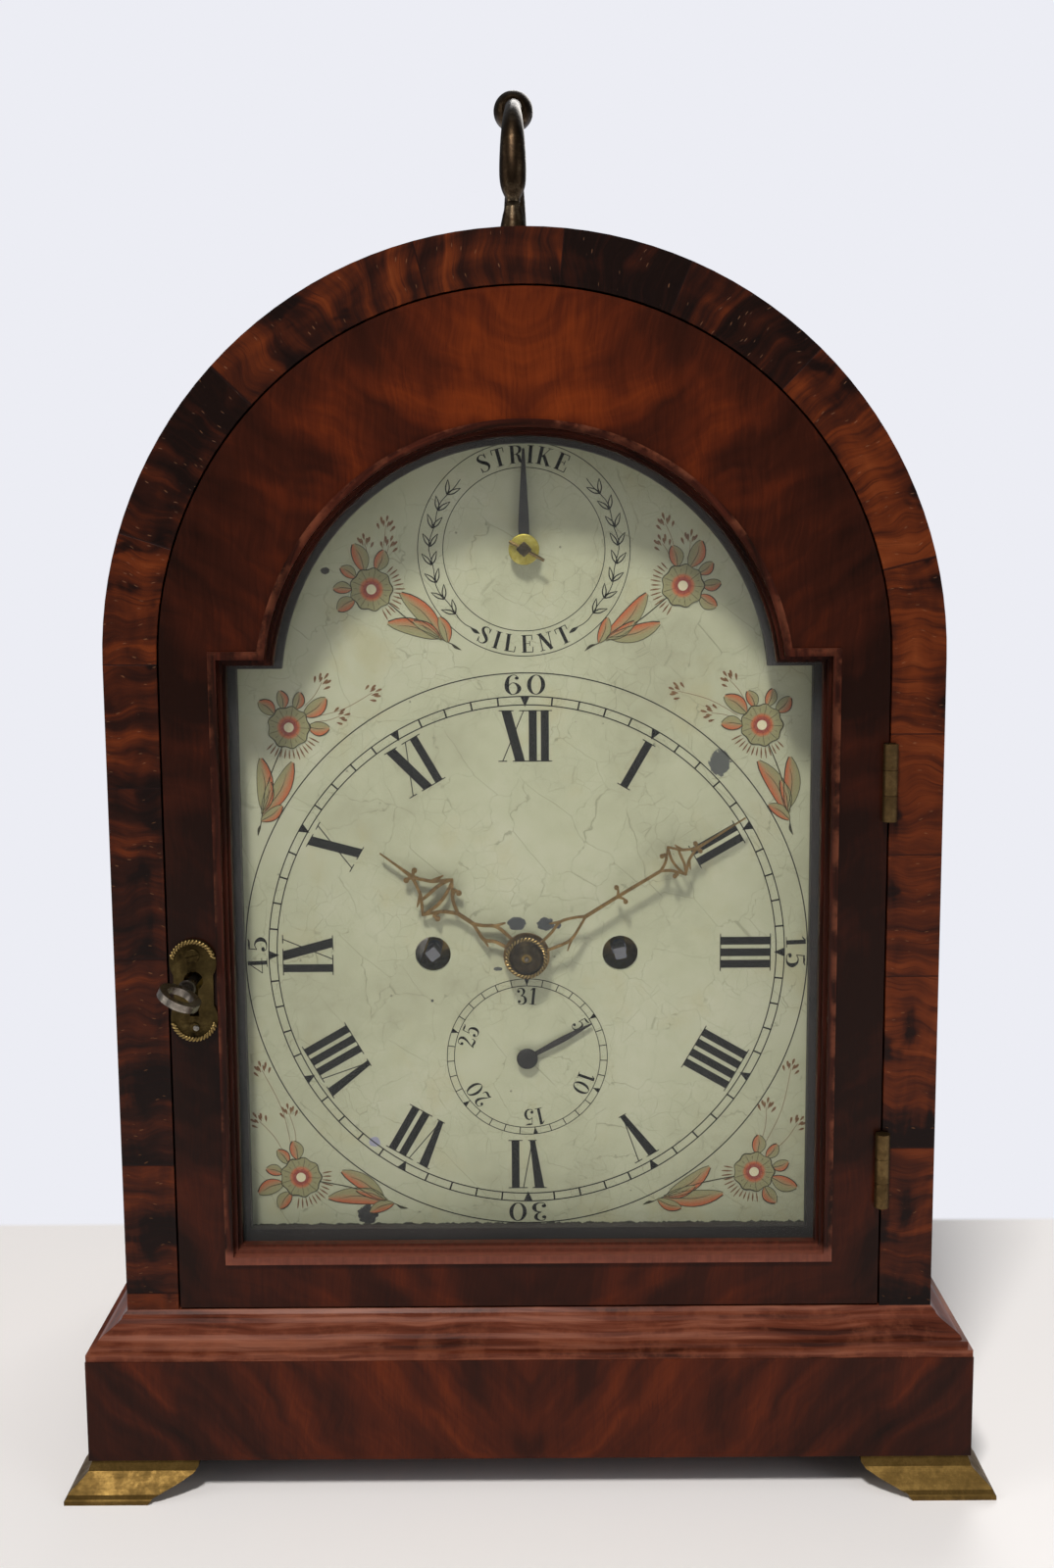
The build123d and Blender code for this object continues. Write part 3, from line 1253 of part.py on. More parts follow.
hour_wire = 1.15
hour_fork = (27.8, 1.7)
hour_shapes = heart(21.4, 1.5, 11.5, 3.0, hour_wire)
hour_shapes += strand((21.4, 1.5, 1.3), (24.5, 1.6, 1.4), (*hour_fork, 1.3))
hour_shapes += set_off(*hour_fork, -4.0, diamond(1.0, hour_wire))
hour_shapes += strand((47.6, 0.3, 1.9), (51.0, 0.2, 1.1), (hour_hand_length - 0.2, 0.0, 0.45))
parts["hour_hand"] = hand(
    hour_shapes, centre, hour_angle, hour_front, hour_hand_thickness, 8.0, hour_pipe_radius + hand_fit
)
minute_wire = 0.95
minute_fork = (54.9, 0.3)
minute_shapes = heart(24.7, 1.0, 12.0, 3.6, minute_wire)
minute_shapes += strand((24.7, 1.0, 1.25), (38.4, 0.8, 1.15), (*minute_fork, 1.05))
for side in (-1, 1):
    minute_shapes += strand((37.6, 0.8, 0.9), (38.9, 0.8 + side * 1.5, 0.8), (39.3, 0.8 + side * 2.6, 0.8))
    minute_shapes.append(bead(39.1, 0.8 + side * 2.9, 0.85))
minute_shapes += set_off(*minute_fork, 0.0, diamond(0.71, minute_wire))
minute_shapes += strand((68.6, 0.3, 1.6), (72.0, 0.2, 0.9), (minute_hand_length - 0.2, 0.0, 0.4))
parts["minute_hand"] = hand(
    minute_shapes, centre, minute_angle, minute_front, minute_hand_thickness, 6.4, cannon_end + hand_fit
)
collet_profile = [(cannon_bore, minute_front), (7.2, minute_front), (7.2, minute_front - 0.9)]
collet_profile += [(5.9, minute_front - 1.0), (4.8, minute_front - 2.2), (2.6, minute_front - 2.9)]
parts["hand_collet"] = lathe_y(centre, [*collet_profile, (cannon_bore, minute_front - 2.9)])
date_shapes = strand((0, 0, 1.2), (6.0, 0, 1.6), (15.0, 0, 1.9), (date_hand_length, 0, 0.4))
parts["date_hand"] = hand(date_shapes, date_centre, date_angle, dial_y - 1.9, 0.8, 3.1, date_post)
silent_shapes = strand((0, 0, 3.0), (8.0, 0, 3.6), (18.0, 0, 2.6), (silent_hand_length, 0, 0.9))
silent_front = dial_y - 3.0
silent_hand = hand(silent_shapes, silent_centre, 0.0, silent_front, 0.9, 3.4, 0.01)
silent_lever_back = dial_y + 6.2
silent_hand += rod(silent_centre, silent_hole - 0.2, silent_front - 2.6, silent_lever_back + 0.8)
silent_lever = bar(silent_centre, (silent_centre[0] + 13, silent_centre[1] - 15), 3.0)
silent_hand += slab(silent_lever, silent_lever_back - 1.2, silent_lever_back)
parts["strike_silent_hand"] = silent_hand

# Carrying handle and its mounts. The handle runs from front to back and stands a little left of the middle.
crown = spring_z + sqrt(case_radius**2 - handle_x**2)
mount_stem = 3.0
mount_foot = 5.4


def handle_mount(y):
    """A flared mount, slotted across for the handle's tang, and the pin through both."""
    profile = [(0, crown - 6), (mount_stem, crown - 6), (mount_stem, crown - 0.5), (mount_foot, crown - 0.5),
               (mount_foot, crown + 2.0), (5.0, crown + 5.0), (4.2, crown + 9.0), (3.2, handle_pivot_z + 3.6),
               (0, handle_pivot_z + 3.6)]
    slot = block((-mount_foot - 1, mount_foot + 1), (y - tang_half - 0.2, y + tang_half + 0.2),
                 (handle_pivot_z - tang_radius - 0.4, handle_pivot_z + mount_foot))
    pin = rod((0, handle_pivot_z), handle_pin, y - 3.7, y + 3.7)
    return Pos(handle_x, 0, 0) * ((lathe_z(0, y, profile) - slot) + pin)


parts["handle_mounts"] = Compound(children=[handle_mount(handle_front), handle_mount(handle_rear)])
for y in (handle_front, handle_rear):
    parts["carcass"] -= upright_rod(handle_x, y, mount_stem + 0.1, crown - 15, crown + 1)
    parts["carcass"] -= upright_rod(handle_x, y, mount_foot + 0.2, crown - 0.5, crown + 1)

# Half of the handle as (y from its pivot, z above its pivot, radius) points: neck, bulb, then the long
# taper that bends inwards and rises to the ball
handle_points = (
    (0.0, 5.3, 2.3), (0.0, 6.4, 2.5), (0.1, 8.6, 3.5), (0.2, 11.5, 4.3), (0.4, 15.0, 4.55),
    (1.0, 20.0, 4.45), (2.2, 25.0, 4.2), (4.6, 30.0, 3.8), (9.0, 34.8, 3.3), (15.0, 38.4, 2.9),
    (24.0, 41.9, 2.6), (34.0, 44.9, 2.5), (40.0, 46.4, 2.9), (46.0, 47.6, 2.6),
)


def handle_half():
    """The front half: circles set square to a curved path, and a skin through them."""
    rings = []
    for i, (dy, dz, radius) in enumerate(handle_points):
        before, after = handle_points[max(i - 1, 0)], handle_points[min(i + 1, len(handle_points) - 1)]
        along = (0, after[0] - before[0], after[1] - before[1])
        plane = Plane(origin=(0, handle_front + dy, handle_pivot_z + dz), x_dir=(1, 0, 0), z_dir=along)
        rings.append(plane * Circle(radius))
    limb = loft(rings)
    tang = rod((0, handle_pivot_z), tang_radius, handle_front - tang_half, handle_front + tang_half)
    tang += block((-2.0, 2.0), (handle_front - tang_half, handle_front + tang_half),
                  (handle_pivot_z, handle_pivot_z + 6.2))
    tang -= rod((0, handle_pivot_z), handle_pin + pin_clearance, handle_front - 8, handle_front + 8)
    return limb + tang


handle_middle = (handle_front + handle_rear) / 2
front_half = handle_half()
ball = Pos(0, handle_middle, handle_top_z) * Sphere(knop_radius)
collar_place = (0, handle_front + 43.4, handle_pivot_z + 47.1)
collar_turn = Plane(origin=collar_place, x_dir=(1, 0, 0), z_dir=(0, 1, 0.22))
front_collar = extrude(collar_turn * Circle(4.1), amount=1.8)
rear_half = mirror(front_half + front_collar, Plane.XZ.offset(-handle_middle))
parts["carrying_handle"] = Pos(handle_x, 0, 0) * (front_half + front_collar + ball + rear_half)

os.makedirs("parts", exist_ok=True)
for name, shape in parts.items():
    export_step(Pos(0, -model_middle, 0) * shape, f"parts/{name}.step")
    print(name, [round(v, 1) for v in (*shape.bounding_box().min, *shape.bounding_box().max)])
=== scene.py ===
# %% [markdown]
# A round-topped bracket clock, dressed for the camera.
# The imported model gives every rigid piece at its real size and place. This file gives each surface its
# finish, paints the dial, and adds the small trim that a maker would put on last.

import random
from math import atan2, cos, degrees, hypot, pi, radians, sin

import bpy
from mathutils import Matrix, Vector


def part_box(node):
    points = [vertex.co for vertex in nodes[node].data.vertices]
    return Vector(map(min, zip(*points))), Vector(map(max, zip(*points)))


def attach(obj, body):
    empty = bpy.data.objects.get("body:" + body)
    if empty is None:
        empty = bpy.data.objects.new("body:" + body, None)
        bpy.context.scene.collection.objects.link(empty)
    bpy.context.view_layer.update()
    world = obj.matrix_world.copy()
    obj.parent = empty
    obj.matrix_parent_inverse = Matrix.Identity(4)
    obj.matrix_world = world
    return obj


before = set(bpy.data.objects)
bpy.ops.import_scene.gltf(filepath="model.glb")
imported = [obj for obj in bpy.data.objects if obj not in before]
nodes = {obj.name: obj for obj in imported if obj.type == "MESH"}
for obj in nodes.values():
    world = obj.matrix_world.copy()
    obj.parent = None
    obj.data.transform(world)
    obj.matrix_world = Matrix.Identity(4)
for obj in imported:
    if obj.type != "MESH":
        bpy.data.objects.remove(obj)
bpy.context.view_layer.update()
mm = 0.001


# %% [markdown]
# The photograph was taken from about 60 cm away, at the height of the small ring in the arch, looking
# slightly down. The lens is given by its focal length in pixels of the photograph.

# %% Camera
photo_width, photo_height = 1075, 1600
focal_pixels = 1691.0
camera_distance = 0.6157
camera_height = 0.3090
camera_side = 0.0010
camera_pitch = radians(7.279)
camera_roll = radians(0.376)
film_height = 24.0

bpy.ops.object.camera_add(location=(camera_side, -camera_distance, camera_height))
camera = bpy.context.object
camera.rotation_euler = (pi / 2 - camera_pitch, camera_roll, 0)
camera.data.sensor_fit = "VERTICAL"
camera.data.sensor_height = film_height
camera.data.sensor_width = film_height * photo_width / photo_height
camera.data.lens = film_height * focal_pixels / photo_height
camera.data.clip_start = 0.01
bpy.context.scene.camera = camera
bpy.context.scene.view_settings.view_transform = "Standard"


# %% [markdown]
# A finish is a node tree, but written as nodes it is hard to read. Here a Wire stands for one socket, and
# ordinary arithmetic on it adds the Math nodes. Everything that isn't arithmetic comes from Finish.add,
# which sets a node's own settings first and then its sockets.

# %% Finishes as formulas
class Wire:
    """One output socket of a finish, which arithmetic works on."""

    def __init__(self, finish, socket):
        self.finish = finish
        self.socket = socket

    def maths(self, operation, *others):
        return self.finish.maths(operation, self, *others)

    def __add__(self, other):
        return self.maths("ADD", other)

    def __sub__(self, other):
        return self.maths("SUBTRACT", other)

    def __rsub__(self, other):
        return self.finish.maths("SUBTRACT", other, self)

    def __mul__(self, other):
        return self.maths("MULTIPLY", other)

    def __truediv__(self, other):
        return self.maths("DIVIDE", other)

    def __neg__(self):
        return self * -1.0

    __radd__ = __add__
    __rmul__ = __mul__


class Finish:
    """A material whose nodes are laid by formulas, in millimetres of the clock."""

    def __init__(self, name, roughness=0.5, metallic=0.0):
        self.material = bpy.data.materials.new(name)
        self.material.use_nodes = True
        self.tree = self.material.node_tree
        self.shader = self.tree.nodes["Principled BSDF"]
        self.set("Roughness", roughness)
        self.set("Metallic", metallic)
        place = self.add("ShaderNodeTexCoord", output="Object")
        parts = self.tree.nodes.new("ShaderNodeSeparateXYZ")
        self.feed(parts.inputs[0], place)
        self.x, self.y, self.z = [Wire(self, socket) * 1000.0 for socket in parts.outputs]

    def feed(self, socket, value):
        """Link a Wire to a socket, or set the socket to a plain value."""
        if isinstance(value, Wire):
            self.tree.links.new(value.socket, socket)
        else:
            socket.default_value = value

    def add(self, kind, settings=None, values=None, output=0):
        """Add one node: its settings first, then its sockets by name or number."""
        node = self.tree.nodes.new(kind)
        for name, value in (settings or {}).items():
            if name == "stops":
                self.set_stops(node.color_ramp, value)
            else:
                setattr(node, name, value)
        for name, value in (values or {}).items():
            self.feed(node.inputs[name], value)
        return Wire(self, node.outputs[output])

    def set_stops(self, ramp, stops):
        while len(ramp.elements) < len(stops):
            ramp.elements.new(0.5)
        for element, (place, colour) in zip(ramp.elements, stops):
            element.position = place
            element.color = (*colour, 1.0)

    def maths(self, operation, *values):
        return self.add("ShaderNodeMath", {"operation": operation}, dict(enumerate(values)))

    def set(self, socket, value):
        self.feed(self.shader.inputs[socket], value)

    def vector(self, x, y, z):
        return self.add("ShaderNodeCombineXYZ", None, {0: x, 1: y, 2: z})

    def noise(self, place, detail=4.0, roughness=0.55, distortion=0.0):
        """Cloudy noise with features about one unit of place across, from 0 to 1."""
        values = {"Vector": place, "Scale": 1.0, "Detail": detail, "Roughness": roughness,
                  "Distortion": distortion}
        return self.add("ShaderNodeTexNoise", None, values, "Fac")

    def cells(self, place, feature="F1"):
        """Distance in a pattern of cells about one unit of place across."""
        values = {"Vector": place, "Scale": 1.0, "Randomness": 1.0}
        return self.add("ShaderNodeTexVoronoi", {"feature": feature}, values, "Distance")

    def step(self, value, low, high):
        """0 below low, 1 above high, and a smooth rise between."""
        return self.add("ShaderNodeMapRange", {"interpolation_type": "SMOOTHSTEP"},
                        {"Value": value, "From Min": low, "From Max": high})

    def ramp(self, value, *stops):
        return self.add("ShaderNodeValToRGB", {"stops": stops}, {"Fac": value})

    def mix(self, mask, below, above):
        """The colour below where mask is 0, and above where it is 1."""
        values = {0: mask}
        for socket, colour in ((6, below), (7, above)):
            values[socket] = colour if isinstance(colour, Wire) else (*colour, 1.0)
        return self.add("ShaderNodeMix", {"data_type": "RGBA"}, values, 2)

    def polish(self):
        """Old wax over shellac: a thin, soft sheen that leaves dark wood dark."""
        self.set("Specular IOR Level", 0.10)
        self.set("Coat Weight", 0.045)
        self.set("Coat Roughness", 0.14)

    def bump(self, height, depth, strength=1.0):
        """Use height, 0 to 1, as relief that is depth millimetres deep."""
        values = {"Height": height, "Distance": depth * mm, "Strength": strength}
        normal = self.add("ShaderNodeBump", None, values)
        self.set("Normal", normal)


def shade(hexcode):
    """A colour as it looks on screen, turned into the linear values that a shader wants."""
    channels = [int(hexcode[i:i + 2], 16) / 255 for i in (0, 2, 4)]
    return tuple(c / 12.92 if c <= 0.04045 else ((c + 0.055) / 1.055) ** 2.4 for c in channels)


# %% [markdown]
# Sizes that several cells share, read from the frame or measured on the dial. Depths are along Y, and the
# front of the case is at case_face.

# %% Shared sizes
low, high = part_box("front_frame")
case_face = low[1] / mm
case_half = high[0] / mm
case_top = high[2] / mm
spring_z = case_top - case_half
frame_face_width = 17.5
dial_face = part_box("dial_plate")[0][1] / mm
dial_centre = (0.0, 177.6)
date_centre = (0.0, 140.6)
strike_centre = (0.0, 316.6)
print("case face", round(case_face, 2), "dial face", round(dial_face, 2), "springing", round(spring_z, 1))


# %% [markdown]
# Rosewood crossbanding: the veneer's grain runs across the frame, from its inner edge to its outer one, and
# follows the arch like the spokes of a fan. So the pattern needs two distances instead of x and z: how far
# along the frame a point lies, and how far out. Both come from the height of the springing and the arch's
# radius. The band is laid in short lengths, and each one is cut from another place in the board.

# %% Rosewood
veneer_length = 52.0


def round_the_arch(finish, radius):
    """Distance along the arched frame from its left foot, and distance out from the arch's centre."""
    above = finish.z - spring_z
    over = finish.step(above, -0.01, 0.01)
    out_arch = finish.maths("SQRT", finish.x * finish.x + above * above)
    out_leg = finish.maths("ABSOLUTE", finish.x)
    angle = finish.maths("ARCTAN2", above, -finish.x)
    right = finish.step(finish.x, -0.01, 0.01)
    along_leg = above * (1 - right * 2) + right * (pi * radius)
    along = over * (angle * radius) + (1 - over) * along_leg
    out = over * out_arch + (1 - over) * out_leg
    return along, out


def rosewood():
    """Short lengths of streaky veneer, and the dark seams between them."""
    finish = Finish("rosewood", roughness=0.32)
    along, out = round_the_arch(finish, case_half - frame_face_width / 2)
    wander = finish.noise(finish.vector(along / 46.0, out / 30.0, finish.y / 30.0), 2.0) * 22.0
    laid = along + finish.maths("SINE", along / 37.0) * 13.0
    piece = finish.maths("FLOOR", laid / veneer_length)
    seam = finish.maths("PINGPONG", laid, veneer_length / 2)
    other = finish.add("ShaderNodeTexWhiteNoise", {"noise_dimensions": "1D"}, {"W": piece})
    slid = along + wander + other * 190.0
    streak = finish.noise(finish.vector(slid / 6.0, out / 60.0, finish.y / 60.0), 7.0, 0.62, 0.5)
    broad = finish.noise(finish.vector(slid / 20.0, out / 46.0, finish.y / 50.0), 3.0, 0.5, 1.0)
    fine = finish.noise(finish.vector(slid / 1.1, out / 26.0, finish.y / 26.0), 3.0, 0.6)
    sweep = finish.noise(finish.vector(slid / 48.0, out / 20.0, 7.0), 3.0, 0.55, 0.8)
    tone = streak * 0.42 + broad * 0.28 + sweep * 0.30 + (other - 0.5) * 0.14
    crown = finish.step(finish.z, spring_z + 10.0, case_top - 25.0)
    tone = tone - crown * 0.10
    colour = finish.ramp(tone, (0.36, shade("130805")), (0.43, shade("260f08")), (0.49, shade("3e190b")),
                         (0.56, shade("5a260e")), (0.66, shade("713618")))
    black = finish.step(broad * 0.5 + sweep * 0.5, 0.47, 0.41)
    colour = finish.mix(black * 0.9, colour, shade("110705"))
    colour = finish.mix(finish.step(fine, 0.52, 0.68) * 0.5, colour, shade("200b06"))
    fleck = finish.cells(finish.vector(slid / 1.5, out / 6.5, finish.y / 6.5))
    colour = finish.mix(finish.step(fleck, 0.13, 0.07) * 0.35, colour, shade("8a5c3c"))
    colour = finish.mix(finish.step(seam, 0.35, 0.15) * 0.75, colour, shade("1a0a07"))
    finish.set("Base Color", colour)
    open_pore = finish.step(fleck, 0.16, 0.09)
    finish.set("Roughness", 0.28 + fine * 0.16 + open_pore * 0.2)
    finish.polish()
    finish.bump(fine * 0.5 - finish.step(seam, 0.35, 0.1) * 0.8 - open_pore * 0.5, 0.12, 0.6)
    return finish.material


# %% [markdown]
# Flame mahogany is cut from the fork of a tree. Two leaves of it are laid side by side like an open book,
# so the figure mirrors about the middle: a plume of bright, curling fire with dark eyes beside it. Reading
# the pattern from the distance to the middle, instead of from x, gives the mirror for nothing.

# %% Flame mahogany
# Height of the painted highlight on the flame veneer.
painted_highlight_z = 395.0


def flame(name, middle_z, lift, tall, dull=0.0, side_shade=0.5, wide=120.0, calm=0.75):
    """Book-matched figure about x = 0; lift leans the plume upwards and dull takes the brightness down."""
    finish = Finish(name, roughness=0.3)
    aside = finish.maths("ABSOLUTE", finish.x + finish.noise(
        finish.vector(finish.x / 70.0, finish.z / 50.0, 3.0), 1.0) * 5.0 - 2.5)
    up = finish.z - middle_z
    warp = finish.noise(finish.vector(aside / 42.0, up / 36.0, 1.7), 3.0, 0.5) * 34.0
    fan = up - aside * lift + warp
    cloud = finish.noise(finish.vector(aside / 34.0, fan / tall, 0.3), 3.0, 0.5, 0.6)
    plume = finish.noise(finish.vector(aside / 75.0, fan / (tall * 0.42), 4.1), 4.0, 0.55, 0.3)
    curl = finish.noise(finish.vector(aside / 60.0, fan / 4.6, 8.2), 3.0, 0.5)
    grain = finish.noise(finish.vector((finish.x + warp * 0.4) / 1.0, finish.z / 24.0, finish.y / 20.0),
                         4.0, 0.6)
    tone = 0.5 + (cloud * 0.5 + plume * 0.28 + curl * 0.10 + grain * 0.12 - 0.5) * calm
    # Painted highlight: the veneer is painted brighter in a soft patch high up near the middle.
    high_up = finish.maths("ABSOLUTE", finish.z - painted_highlight_z)
    glow = finish.step(high_up, 95.0, 0.0) * finish.step(aside, 75.0, 0.0)
    tone = tone + glow * 0.06 - finish.step(aside, wide * 0.25, wide) * side_shade * 0.16 - dull
    colour = finish.ramp(tone, (0.34, shade("1a0904")), (0.42, shade("2f1107")), (0.48, shade("471a09")),
                         (0.54, shade("61260b")), (0.62, shade("7c3510")), (0.72, shade("95481a")))
    pore = finish.noise(finish.vector(finish.x / 0.5, finish.z / 7.0, finish.y / 7.0), 2.0, 0.6)
    colour = finish.mix(finish.step(pore, 0.60, 0.72) * 0.35, colour, shade("250b06"))
    finish.set("Base Color", colour)
    finish.set("Roughness", 0.26 + grain * 0.14)
    finish.polish()
    finish.bump(pore * 0.5 + grain * 0.3, 0.05, 0.5)
    return finish.material


# %% [markdown]
# The case side is plainer mahogany, bent over the crown with its grain running round it. The mouldings are
# solid wood run with a plane: their grain follows their length, and a century of dusting has worn their
# proud edges paler.

# %% Plain mahogany and mouldings
def side_mahogany():
    finish = Finish("side_mahogany", roughness=0.34)
    along, out = round_the_arch(finish, case_half)
    depth = finish.y + finish.noise(finish.vector(along / 90.0, finish.y / 60.0, 0.0), 2.0) * 16.0
    band = finish.noise(finish.vector(along / 160.0, depth / 9.0, out / 30.0), 4.0, 0.55, 0.4)
    line = finish.noise(finish.vector(along / 60.0, depth / 1.4, out / 9.0), 4.0, 0.6)
    tone = band * 0.7 + line * 0.3
    colour = finish.ramp(tone, (0.36, shade("2c0f08")), (0.48, shade("4c1c0e")), (0.56, shade("652a13")),
                         (0.68, shade("7c3a1b")))
    pore = finish.noise(finish.vector(along / 8.0, finish.y / 0.5, out / 4.0), 2.0, 0.6)
    colour = finish.mix(finish.step(pore, 0.60, 0.72) * 0.4, colour, shade("200a06"))
    finish.set("Base Color", colour)
    finish.set("Roughness", 0.30 + line * 0.14)
    finish.polish()
    finish.bump(pore, 0.05, 0.5)
    return finish.material


def moulded(name, dark, middle, light, wear=0.5, upright_above=None, highlight_below=0.0):
    """Moulded wood: streaks follow the run, wear follows the convex edges, and a low rail is painted paler
    as a highlight.
    """
    finish = Finish(name, roughness=0.34)
    wander = finish.noise(finish.vector(finish.x / 60.0, finish.y / 60.0, finish.z / 60.0), 2.0) * 6.0
    if upright_above is None:
        across = (finish.z + wander) / 2.2
        streak = finish.noise(finish.vector(finish.x / 70.0, finish.y / 70.0, across), 4.0, 0.6)
    else:
        along, out = round_the_arch(finish, upright_above)
        streak = finish.noise(finish.vector(along / 50.0, finish.y / 2.0, (out + wander) / 2.0), 4.0, 0.6)
    cloud = finish.noise(finish.vector(finish.x / 40.0, finish.y / 40.0, finish.z / 40.0), 2.0, 0.5)
    tone = streak * 0.75 + cloud * 0.25
    colour = finish.ramp(tone, (0.36, dark), (0.5, middle), (0.66, light))
    edge = finish.add("ShaderNodeNewGeometry", output="Pointiness")
    rub = finish.noise(finish.vector(finish.x / 9.0, finish.y / 9.0, finish.z / 9.0), 4.0, 0.65)
    worn = finish.step(edge, 0.53, 0.62) * finish.step(rub, 0.45, 0.65) * wear
    colour = finish.mix(worn, colour, shade("8e5138"))
    # Painted highlight: the low rail is painted paler, standing in for light on its top face.
    rail_highlight = finish.step(finish.z, highlight_below, highlight_below - 3.0)
    colour = finish.mix(rail_highlight * (0.35 + streak * 0.3), colour, shade("8a5040"))
    finish.set("Base Color", colour)
    finish.set("Roughness", 0.28 + streak * 0.2)
    finish.polish()
    finish.bump(streak * 0.6 + rub * 0.4, 0.10, 0.5)
    return finish.material


def stained_wood(name, dark, light):
    """Plain interior wood with a straight grain, as on the mask and the boards."""
    finish = Finish(name, roughness=0.55)
    band = finish.noise(finish.vector(finish.x / 60.0, finish.y / 5.0, finish.z / 7.0), 4.0, 0.6, 0.3)
    line = finish.noise(finish.vector(finish.x / 30.0, finish.y / 0.9, finish.z / 1.0), 3.0, 0.6)
    finish.set("Base Color", finish.ramp(band * 0.65 + line * 0.35, (0.38, dark), (0.62, light)))
    finish.set("Roughness", 0.5 + line * 0.2)
    finish.bump(line, 0.08, 0.6)
    return finish.material


# %% [markdown]
# Old brass isn't one colour. Lacquer and hands leave it olive brown in the hollows and bright where it is
# rubbed. Three cloudy noises of different size set the patina, and the roughness follows it. Steel and the
# dark hands are made the same way in other colours.

# %% Metals
scratch = 0.3
arbor_depth = 12.0


def aged_metal(name, tarnish, body, bright, patch, rough, polish, metallic=1.0, steel_front=False):
    """Patina in three colours; steel_front leaves the end nearest the dial in bare steel."""
    finish = Finish(name, metallic=metallic)
    here = finish.vector(finish.x / patch, finish.y / patch, finish.z / patch)
    cloud = finish.noise(here, 5.0, 0.62, 0.2)
    spot = finish.noise(finish.vector(finish.x / 1.3, finish.y / 1.3, finish.z / 1.3), 4.0, 0.65)
    brush = finish.noise(finish.vector(finish.x / 9.0, finish.y / 0.35, finish.z / 0.35), 2.0, 0.6)
    tone = cloud * 0.62 + spot * 0.28 + brush * 0.10
    colour = finish.ramp(tone, (0.36, tarnish), (0.50, body), (0.66, bright))
    edge = finish.add("ShaderNodeNewGeometry", output="Pointiness")
    rubbed = finish.step(edge, 0.52, 0.60) * polish
    colour = finish.mix(rubbed, colour, bright)
    if steel_front:
        near_dial = finish.step(finish.y, dial_face + arbor_depth, dial_face + arbor_depth - 2.0)
        colour = finish.mix(near_dial, colour, shade("77787c"))
    finish.set("Base Color", colour)
    low_rough, high_rough = rough
    finish.set("Roughness", high_rough - finish.step(tone, 0.35, 0.65) * (high_rough - low_rough) * 0.8)
    finish.bump(spot * (1 - scratch) + brush * scratch, 0.06, 0.5)
    return finish.material


# %% [markdown]
# The dial is iron with a painted, stove-dried ground. It has gone a pale green-cream and broken into a web
# of hairline cracks. A second, coarser web gives the few long cracks. Dirt gathers at the edge of the
# opening, and where the paint has lifted the dark iron shows: those places are listed by position, size
# and colour, and a noise makes their outline ragged.

# %% Dial paint
chips = (
    ((66.5, 244.0), 3.6, 4.6, "4a4d48"), ((-3.4, 188.2), 3.2, 2.4, "3c3f40"),
    ((6.6, 188.0), 3.0, 2.3, "3c3f40"), ((-9.9, 172.2), 1.5, 0.7, "4a4d48"),
    ((-57.0, 83.6), 3.8, 3.6, "262422"), ((-54.0, 110.1), 1.9, 1.9, "8f8fa0"),
    ((-33.0, 161.0), 0.5, 0.5, "3a3a36"), ((-67.0, 310.0), 1.7, 1.1, "35322c"),
    ((11.0, 187.5), 1.0, 1.2, "3c3f40"),
)
dial_foot = 82.6


def dial_paint():
    """Old white paint, with stains, two webs of cracks, specks and the places where it is lost."""
    finish = Finish("dial_paint", roughness=0.42)
    wide = finish.noise(finish.vector(finish.x / 60.0, 0.0, finish.z / 60.0), 3.0, 0.5)
    small = finish.noise(finish.vector(finish.x / 7.0, 0.0, finish.z / 7.0), 5.0, 0.6)
    colour = finish.ramp(wide * 0.7 + small * 0.3, (0.36, shade("9c9d80")), (0.5, shade("a9ab8d")),
                         (0.64, shade("b2b398")))
    stain = finish.noise(finish.vector(finish.x / 22.0, 0.0, finish.z / 30.0), 4.0, 0.6, 0.5)
    colour = finish.mix(finish.step(stain, 0.52, 0.72) * 0.35, colour, shade("a39a6e"))
    bend = finish.noise(finish.vector(finish.x / 9.0, 0.0, finish.z / 9.0), 3.0, 0.6) * 5.0
    to_edge = "DISTANCE_TO_EDGE"
    fine_web = finish.cells(finish.vector((finish.x + bend) / 5.2, 0.0, (finish.z + bend) / 5.2), to_edge)
    long_place = finish.vector((finish.x + bend * 2) / 17.0, 0.0, (finish.z - bend * 2) / 21.0)
    long_web = finish.cells(long_place, to_edge)
    where = finish.noise(finish.vector(finish.x / 26.0, 5.0, finish.z / 26.0), 2.0, 0.5)
    crack = finish.step(fine_web, 0.022, 0.004) * finish.step(where, 0.40, 0.62) * 0.42
    long_crack = finish.step(long_web, 0.0085, 0.002) * finish.step(where, 0.62, 0.45) * 0.5
    crack = finish.maths("MAXIMUM", crack, long_crack)
    colour = finish.mix(crack, colour, shade("6f7257"))
    speck = finish.cells(finish.vector(finish.x / 11.0, 0.0, finish.z / 11.0))
    colour = finish.mix(finish.step(speck, 0.045, 0.03) * 0.6, colour, shade("4b4a3a"))
    ragged = finish.noise(finish.vector(finish.x / 1.7, 0.0, finish.z / 1.7), 4.0, 0.65) * 1.1 - 0.55
    lost = None
    for (cx, cz), half_x, half_z, tone in chips:
        dx = (finish.x - cx) / half_x
        dz = (finish.z - cz) / half_z
        gone = finish.step(finish.maths("SQRT", dx * dx + dz * dz) + ragged, 1.02, 0.94)
        colour = finish.mix(gone, colour, shade(tone))
        lost = gone if lost is None else finish.maths("MAXIMUM", lost, gone)
    foot = finish.z + finish.noise(finish.vector(finish.x / 3.4, 0.0, 0.0), 5.0, 0.7) * 4.4
    worn_edge = finish.step(foot, dial_foot, dial_foot - 0.4)
    colour = finish.mix(worn_edge, colour, shade("2e2c24"))
    finish.set("Base Color", colour)
    finish.set("Roughness", 0.38 + small * 0.15 + lost * 0.2)
    finish.bump((1 - crack) * 0.5 + (1 - lost) * 0.5 + small * 0.1, 0.09, 0.7)
    return finish.material


